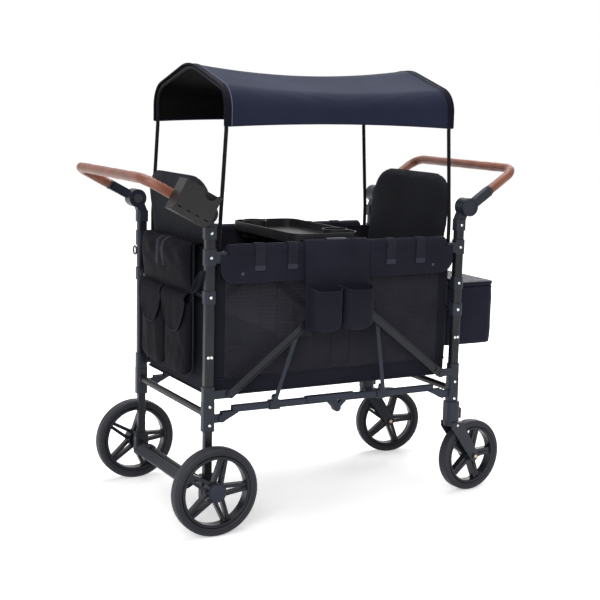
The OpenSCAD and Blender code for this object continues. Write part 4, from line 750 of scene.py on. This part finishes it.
for tag, sign in SIDES:
    s, d = np.meshgrid(np.linspace(-1, 1, 140), np.linspace(0, FLAP_TOP - FLAP_LOW, 30), indexing="ij")
    x, q, z = flap_points(s, d)
    mesh = over_grid("flap", np.stack([x, sign * q, z], 2))
    flap = stiffened(sewn("side_flap_" + tag, mesh, pad_cloth, "side_flaps"), DOUBLED, 0)
    down = np.linspace(FLAP_TOP - FLAP_LOW, 0, 40)
    s = np.concatenate([0 * down - 1, np.linspace(-1, 1, 120), 0 * down + 1])
    d = np.concatenate([down, np.zeros(120), down[::-1]])
    x, q, z = flap_points(s, d)
    edge = evened(np.stack([x, sign * (q + 0.0004), z], 1), 260)
    trims = [cord("flap_piping_" + tag, edge, 0.0019, (0, 1, 0))]
    q, z = np.concatenate([over_rail(0.0014, 0.003, 24), STRAP_DROP]).T
    for k, at in enumerate(STRAPS):
        path = evened(np.stack([0 * q + at, sign * q, z], 1), 50)
        trims.append(along_path(f"rail_strap_{tag}_{k}", path, flat_strip(0.034, 0.0018), (1, 0, 0), webbing))
        low = np.stack([np.full(12, at), np.full(12, sign * END_Q), END_HEIGHTS], 1)
        name = f"rail_strap_end_{tag}_{k}"
        trims.append(along_path(name, low, flat_strip(0.035, 0.0022), (1, 0, 0), strap_end))
    for k, along in enumerate(SNAP_X):
        spot = [float(v) for v in flap_points(np.array(along / FLAP_X), np.array(SNAP_UP))]
        spot[1] *= sign
        out = (0, sign, 0)
        trims.append(turned_disc(
            f"flap_snap_{tag}_{k}", spot, out, SNAP, button_nylon, "rear_frame", "dark_plastic", 20
        ))
    gathered([flap] + trims)

# Organiser: a strip of basket cloth that hooks over the near padded rail and hangs outside the
# links, with two deep bottle pockets sewn to its foot.
ORGANISER_X = np.array([-0.138, 0.088])
PANEL_Q, KNEE_Z, POCKET_LOW, POCKET_TOP = 0.3056, 0.752, 0.599, 0.740
hook = over_rail(0.0042, 0, 26)
hang = evened(np.concatenate([hook, [[PANEL_Q, KNEE_Z], [PANEL_Q, POCKET_LOW]]]), 80)
x, q = np.meshgrid(np.linspace(*ORGANISER_X, 64), hang[:, 0], indexing="ij")
z = np.broadcast_to(hang[:, 1], x.shape)
loose = np.clip((PAD_Z - z) / 0.05, 0, 1)
q = q + 0.0009 * loose * waves(x, z, 21, 0.12)
mesh = over_grid("saddle", np.stack([x, -q, z], 2))
saddle = stiffened(sewn("organiser_saddle", mesh, pad_cloth, "organiser"), LINED)


def open_pocket(width, depth, low, high, dip, foot, seed, rows=26, cols=64):
    """Sewn pocket as (along, out, up): a half round-cornered section from one back edge round the
    front to the other, drawn in to a round foot, its mouth dipping in front and its cloth uneven."""
    turn = np.linspace(0, np.pi, cols)[None]
    bend = np.linspace(0, np.pi / 2, 12)[:, None]
    rise = np.linspace(0, 1, rows)[1:, None]
    share = np.concatenate([np.sin(bend), 0 * rise + 1])
    mouth = high - dip * np.sin(turn) ** 2
    up = np.concatenate([
        low + foot * (1 - np.cos(bend)) + 0 * turn,
        low + foot + (mouth - low - foot) * rise,
    ])
    along = -width / 2 * np.sign(np.cos(turn)) * np.abs(np.cos(turn)) ** 0.5 * share
    belly = 1 + 0.05 * np.concatenate([0 * bend, np.sin(np.pi * rise)])
    out = depth * (0.4 + (np.sin(turn) ** 0.55 * belly - 0.4) * share)
    held = np.sin(turn) * share
    return along, out + 0.0022 * held * waves(along, up, seed, 0.14), up


organiser_trim = []
for tag, middle, seed in (("rear", -0.0815, 31), ("front", 0.0315, 32)):
    along, out, up = open_pocket(0.109, 0.054, POCKET_LOW, POCKET_TOP, 0.011, 0.026, seed)
    points = np.stack([middle + along, -(PANEL_Q + 0.0012 + out), up], 2)
    mesh = tidied(over_grid("pocket", points))
    pocket = stiffened(sewn("organiser_pocket_" + tag, mesh, band_cloth, "organiser"), LINED)
    organiser_trim += [pocket, cord("pocket_piping_" + tag, points[-1], 0.0019, (0, 0, 1))]
for k, at in enumerate((-0.137, -0.064, 0.005, 0.061, 0.087)):
    line = np.stack([0 * hang[:, 0] + at, -(hang[:, 0] + 0.0008), hang[:, 1] + 0.0003], 1)[:46]
    organiser_trim.append(cord(f"saddle_seam_{k}", line, 0.0011, (1, 0, 0), count=6))
gathered([saddle] + organiser_trim)

# Rear end: a cloth panel hooked over the basket's rim, with a padded roll along its top, two
# bellows pockets below and a scalloped flap over each. A loop of webbing hangs from one post
# and a ring for keys from the other.
# A darker copy of the basket's cloth for the roll, pockets and flaps: painted shade over the rear end.
rear_cloth_painted_shade = woven("rear_cloth_painted_shade", (0.0046, 0.0046, 0.0076), sheen=0.0, fold=0.5)
PANEL_X, PANEL_HALF, PANEL_LOW, PANEL_TOP, PANEL_R = 0.4655, 0.192, 0.455, 0.8715, 0.05
s, t = np.meshgrid(np.linspace(-1, 1, 90), np.linspace(0, 1, 70), indexing="ij")
rise = t * (PANEL_TOP - PANEL_LOW)
y = s * (PANEL_HALF - corner_in(rise, PANEL_R))
z = PANEL_LOW + rise
x = -PANEL_X - 0.001 * waves(y, z, 41, 0.2)
lip = np.stack([np.full(90, -0.436), y[:, -1], np.full(90, PANEL_TOP)], 1)[:, None]
panel_points = np.concatenate([np.stack([x, y, z], 2), lip], 1)
mesh = over_grid("panel", panel_points)
rear_panel = stiffened(sewn("rear_panel", mesh, basket_cloth, "rear_pouch"), DOUBLED, 0)
hem = evened(np.concatenate([panel_points[0, -2::-1], panel_points[:, 0], panel_points[-1, :-1]]), 240)
rear_trim = [cord("rear_panel_hem", hem, 0.0024, (1, 0, 0))]

ROLL_X, ROLL_HALF = 0.4685, 0.190
roll = evened(np.array([
    [0.438, 0.8735], [0.470, 0.8740], [0.488, 0.862], [0.4925, 0.838], [0.4915, 0.800], [0.486, 0.765],
    [0.478, 0.738], [0.4715, 0.722],
]), 60)
s, n = np.meshgrid(np.linspace(-1, 1, 100), np.arange(60), indexing="ij")
y = s * ROLL_HALF
ends = 1 - np.abs(s) ** 9
x = -(ROLL_X + (roll[n, 0] - ROLL_X) * np.where(roll[n, 0] > ROLL_X, 0.25 + 0.75 * ends, 1))
z = roll[n, 1]
free = np.sin(np.pi * n / 59)
x = x - 0.0026 * free * ends * waves(y, z, 43, 0.16)
roll_points = np.stack([x, y, z], 2)
mesh = over_grid("roll", roll_points)
rear_roll = stiffened(sewn("rear_roll", mesh, rear_cloth_painted_shade, "rear_pouch"), -LINED)
rear_trim += [rear_roll, cord("rear_roll_hem", roll_points[:, -1], 0.003, (0, 0, 1))]

COVER_TOP, COVER_KNEE, COVER_BEND, COVER_HALF = 0.722, 0.696, 0.3, 0.0895
for tag, middle, seed in (("left", 0.095, 51), ("right", -0.095, 52)):
    along, out, up = open_pocket(0.184, 0.021, 0.459, 0.690, 0.0, 0.034, seed)
    points = np.stack([-(PANEL_X + 0.0015 + out), middle + along, up], 2)
    mesh = tidied(over_grid("pocket", points[:, ::-1]))
    pocket = stiffened(sewn("rear_pocket_" + tag, mesh, rear_cloth_painted_shade, "rear_pouch"), LINED)
    s, d = np.meshgrid(np.linspace(-1, 1, 60), np.linspace(0, 1, 40), indexing="ij")
    low = 0.594 + 0.092 * np.abs(s) ** 2.8
    bend = np.clip(d / COVER_BEND, 0, 1)
    y = middle + COVER_HALF * s
    bent = COVER_TOP - (COVER_TOP - COVER_KNEE) * bend ** 2
    z = np.where(d < COVER_BEND, bent, COVER_KNEE + (low - COVER_KNEE) * (d - COVER_BEND) / (1 - COVER_BEND))
    x = -(0.4705 + 0.0235 * np.sin(np.pi / 2 * bend) + 0.0012 * waves(y, z, 55, 0.1) * d)
    points = np.stack([x, y, z], 2)
    mesh = over_grid("flap", points)
    flap = stiffened(sewn("rear_flap_" + tag, mesh, rear_cloth_painted_shade, "rear_pouch"), DOUBLED, 0)
    edge = evened(np.concatenate([points[0, 12:], points[:, -1], points[-1, :11:-1]]), 160)
    rear_trim += [pocket, flap, cord("rear_flap_piping_" + tag, edge, 0.0021, (1, 0, 0))]
for k, at in enumerate((-0.010, 0.034)):
    column = int(np.argmin(np.abs(roll_points[:, 0, 1] - at)))
    path = evened(roll_points[column, 2:40] + np.array([-0.0012, 0, 0.0008]), 40)
    rear_trim.append(along_path(f"rear_strap_{k}", path, flat_strip(0.022, 0.0018), (0, 1, 0), webbing))
turn = np.linspace(0, 2 * np.pi, 96, endpoint=False)
down = np.array([0.0655, -0.0755]) / 0.1
drop = np.array([-0.2365, 0.7635]) - 0.048 * np.cos(turn)[:, None] * down
drop = drop + (0.010 * np.sin(turn) * (1 - 0.45 * np.cos(turn)))[:, None] * np.array([0.755, 0.655])
loop = np.insert(drop, 0, -0.4715, 1)
along_path("post_loop", loop, flat_strip(0.012, 0.0016), (1, 0, 0), webbing, closed=True)
ring = np.insert(circle(0.0133, 96) + (0.2935, 0.797), 0, -0.4660, 1)
cord("post_ring", ring, 0.0028, (1, 0, 0), button_nylon, 12, slot="dark_plastic", closed=True)

# Cooler: an insulated box bag of coated cloth with round corners, a soft zipped lid and two
# webbing loops over the upper front tube.
cooler_cloth = woven("cooler_cloth", (0.0138, 0.0138, 0.0275), rough=0.5, sheen=0.04, fold=0.5)
COOLER_X, COOLER_LOW, COOLER_TOP, LID_LOW = 0.5675, 0.488, 0.690, 0.6912
HANGER, HANG_R = (0.450, 0.721), 0.0106
HANGER_DROP = [[0.4632, 0.690], [0.4642, 0.675], [0.4642, 0.600]]


def box_loop(half_x, half_y, r):
    """Outline of a soft box: a rounded rectangle with its points spread evenly."""
    return evened_ring(round_box(half_x, half_y, r, 12), 160)


def box_rows(share, height, loop, middle_x, swell, seed):
    """Rows of a soft box: the loop drawn to its middle by share at each height, let out by swell
    and by small waves."""
    share, height, swell = (np.asarray(v, float)[:, None] for v in (share, height, swell))
    reach = np.linalg.norm(loop, axis=1)[None]
    around = np.linspace(0, 1.1, len(loop))[None]
    let_out = 1 + (swell + 0.0016 * waves(around, height, seed, 0.16) * np.clip(swell / 0.004, 0, 1)) / reach
    xy = loop[None] * (share * let_out)[..., None] + np.array([middle_x, 0])
    return np.concatenate([xy, np.broadcast_to(height, let_out.shape)[..., None]], 2)


up = np.linspace(0, 1, 34)
share = np.concatenate([np.linspace(0, 0.97, 12), 0 * up + 1])
wall = COOLER_LOW + 0.004 + (COOLER_TOP - COOLER_LOW - 0.004) * up
height = np.concatenate([np.full(12, COOLER_LOW + 0.0005), wall])
swell = np.concatenate([np.zeros(12), 0.0032 * np.sin(np.pi * up) ** 0.6])
body_points = box_rows(share, height, box_loop(0.0995, 0.1895, 0.022), COOLER_X, swell, 61)
mesh = tidied(over_grid("cooler", body_points, False, True))
stiffened(fit_on("cooler_body", mesh, cooler_cloth, "front_frame", "cooler_fabric", "cooler_bag"), 0.003)
ins = np.linspace(0, 1, 12)
share = np.concatenate([ins[:-1], [1.0, 1.004, 1.004, 0.996], np.sqrt(1 - ins[1:] ** 2) * 0.97])
dome = 0.705 + 0.0035 * ins[1:]
height = np.concatenate([np.full(12, LID_LOW), [0.693, 0.702, 0.7045], dome])
lid_points = box_rows(share, height, box_loop(0.1008, 0.1908, 0.023), COOLER_X, 0 * share, 62)
mesh = tidied(over_grid("lid", lid_points, False, True))
fit_on("cooler_top", mesh, cooler_cloth, "cooler_lid", "cooler_fabric", "cooler_lid")
for tag, row, body in (("mouth", body_points[-2], "front_frame"), ("lid", lid_points[13], "cooler_lid")):
    cord("cooler_binding_" + tag, row, 0.0019, (0, 0, 1), body=body, slot="cooler_fabric", closed=True)
turn = np.linspace(math.radians(-150), math.radians(180), 40)[::-1]
x, z = np.concatenate([arc(HANGER, HANG_R, turn), HANGER_DROP]).T
for tag, at in (("left", 0.140), ("right", -0.140)):
    path = evened(np.stack([x, 0 * x + at, z], 1), 90)
    along_path(
        "cooler_hanger_" + tag, path, flat_strip(0.040, 0.0018), (0, 1, 0), webbing, "front_frame",
        "cooler_fabric",
    )

# Seats: foam cushions in quilted cloth, each with piping round its seam, on cloth boxes that
# stand on the basket's floor. One pad and one back are blown up as cloth and used at both ends.
seat_cloth = woven("seat_cloth", (0.015, 0.0155, 0.020), pitch=0.0014, fold=0.35, source="Object")
UNDER_PAD, VOXEL, INSET, CAP, FRAMES = 0.5479, 0.005, 0.006, 0.006, 20
SEAT_X, SEAT_L, SEAT_W, SEAT_Z, DRAW = 0.2985, 0.256, 0.478, 0.548, 0.006
BACK_X, BACK_W, BACK_LOW, BACK_TOP, BACK_DROP = 0.4287, 0.480, 0.612, 1.080, 0.078
LEAN = math.radians(7)
GATHER_FRONT = (SEAT_X + SEAT_L / 2, 0, 0.6)
HALF_TURN = np.array([-1, -1, 1])


def applied(body):
    """Replaces a body's mesh by the one that its modifiers give."""
    seen = body.evaluated_get(bpy.context.evaluated_depsgraph_get())
    mesh = bpy.data.meshes.new_from_object(seen)
    body.modifiers.clear()
    body.data = mesh


def rows_of(mesh):
    """The places of a mesh's points as rows."""
    flat = np.empty(3 * len(mesh.vertices), np.float32)
    mesh.vertices.foreach_get("co", flat)
    return flat.reshape(-1, 3)


def blown(name, node, under, across):
    """Cushion from a solid: what lies above a height, thinned across its faces, remeshed and blown
    up as cloth with each point's way capped, and then smoothed."""
    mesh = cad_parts[node].data.copy()
    work = bmesh.new()
    work.from_mesh(mesh)
    bmesh.ops.delete(work, geom=[v for v in work.verts if v.co.z < under], context="VERTS")
    bmesh.ops.remove_doubles(work, verts=work.verts, dist=1e-5)
    bmesh.ops.recalc_face_normals(work, faces=work.faces)
    across = Vector(across)
    for vertex in work.verts:
        vertex.co -= INSET * vertex.normal.dot(across) * across
    work.to_mesh(mesh)
    work.free()
    mesh.materials.clear()
    body = bpy.data.objects.new(name, mesh)
    bpy.context.collection.objects.link(body)
    remesh = body.modifiers.new("remesh", "REMESH")
    remesh.mode = "VOXEL"
    remesh.voxel_size = VOXEL
    applied(body)
    start = rows_of(body.data)
    cloth = body.modifiers.new("cloth", "CLOTH")
    cloth.settings.use_pressure = True
    cloth.settings.uniform_pressure_force = 4.0
    cloth.settings.effector_weights.gravity = 0.0
    for number in range(1, FRAMES + 1):
        bpy.context.scene.frame_set(number)
    applied(body)
    move = rows_of(body.data) - start
    far = np.linalg.norm(move, axis=1, keepdims=True)
    capped = start + move * np.minimum(1, CAP / np.maximum(far, 1e-9))
    body.data.vertices.foreach_set("co", capped.astype(np.float32).ravel())
    bpy.context.scene.frame_set(1)
    smooth = body.modifiers.new("smooth", "SMOOTH")
    smooth.factor = 0.5
    smooth.iterations = 6
    applied(body)
    mesh = body.data
    bpy.data.objects.remove(body)
    mesh.polygons.foreach_set("use_smooth", np.ones(len(mesh.polygons), bool))
    return mesh


def turned(mesh):
    """A copy of a mesh, turned half round about the middle of the wagon."""
    other = mesh.copy()
    other.transform(Matrix.Rotation(math.pi, 4, "Z"))
    return other


def hugged(line, mesh):
    """A closed line laid on a cushion: each point moves to the nearest one of its surface."""
    skin = BVHTree.FromPolygons(rows_of(mesh).tolist(), [face.vertices for face in mesh.polygons])
    return np.array([skin.find_nearest(Vector(point))[0] for point in evened_ring(line, 300)])


pad_mesh = blown("pad_form", "rear_seat_pad", UNDER_PAD, (0, 0, 1))
back_mesh = blown("back_form", "rear_seat_back", 0.0, (math.cos(LEAN), 0, math.sin(LEAN)))
edge = np.linspace(-1, 1, 40)
rim_u = np.concatenate([edge, 0 * edge + 1, edge[::-1], 0 * edge - 1])
rim_v = np.concatenate([0 * edge - 1, edge, 0 * edge + 1, edge[::-1]])
pad_rim = hugged(np.stack([
    -SEAT_X + (SEAT_L / 2 - 0.003 - DRAW * (1 - rim_v ** 2)) * rim_u,
    (SEAT_W / 2 - 0.003 - DRAW * (1 - rim_u ** 2)) * rim_v,
    0 * rim_u + SEAT_Z + 0.011,
], 1), pad_mesh)
top = BACK_TOP - BACK_DROP * np.abs(rim_v) ** 7 - 0.004
depth = 0.009
upward = BACK_LOW + 0.004 + (rim_u + 1) / 2 * (top - BACK_LOW - 0.004) - RIM_Z
back_rim = hugged(np.stack([
    -BACK_X + depth * math.cos(LEAN) - upward * math.sin(LEAN),
    (BACK_W / 2 - 0.003 - DRAW * (1 - rim_u ** 2)) * rim_v,
    RIM_Z + upward * math.cos(LEAN) + depth * math.sin(LEAN),
], 1), back_mesh)
rows = np.linspace(0.4055, 0.5465, 20)
tuck = 0.0006 - 0.003 * np.sin(np.pi * np.linspace(0, 1, 20))
box_points = box_rows(0 * rows + 1, rows, box_loop(0.1200, 0.2310, 0.022), -SEAT_X, tuck, 71)
for tag, way, anchor, keep in (
    ("rear", 1, GATHER_REAR, GATHER_KEEP), ("front", HALF_TURN, GATHER_FRONT, 0.42),
):
    seat = {"body": tag + "_frame", "slot": "seat_fabric"}
    cushions = []
    for part, mesh in (("pad", pad_mesh), ("back", back_mesh)):
        mesh = mesh if tag == "rear" else turned(mesh)
        node = f"{tag}_seat_{part}"
        cushions.append(fit_on(f"{tag}_{part}", mesh, seat_cloth, *seat.values(), node))
    pad, back = cushions
    piping = cord(f"{tag}_pad_piping", pad_rim * way, 0.0024, (0, 0, 1), closed=True, **seat)
    cord(f"{tag}_back_piping", back_rim * way, 0.0024, (1, 0, 0), closed=True, **seat)
    mesh = tidied(over_grid("box", box_points * way, False, True))
    box = fit_on(f"{tag}_seat_box", mesh, basket_cloth, *seat.values(), f"{tag}_seat_pad")
    stiffened(box, LINED)
    gathered([pad, piping, box])
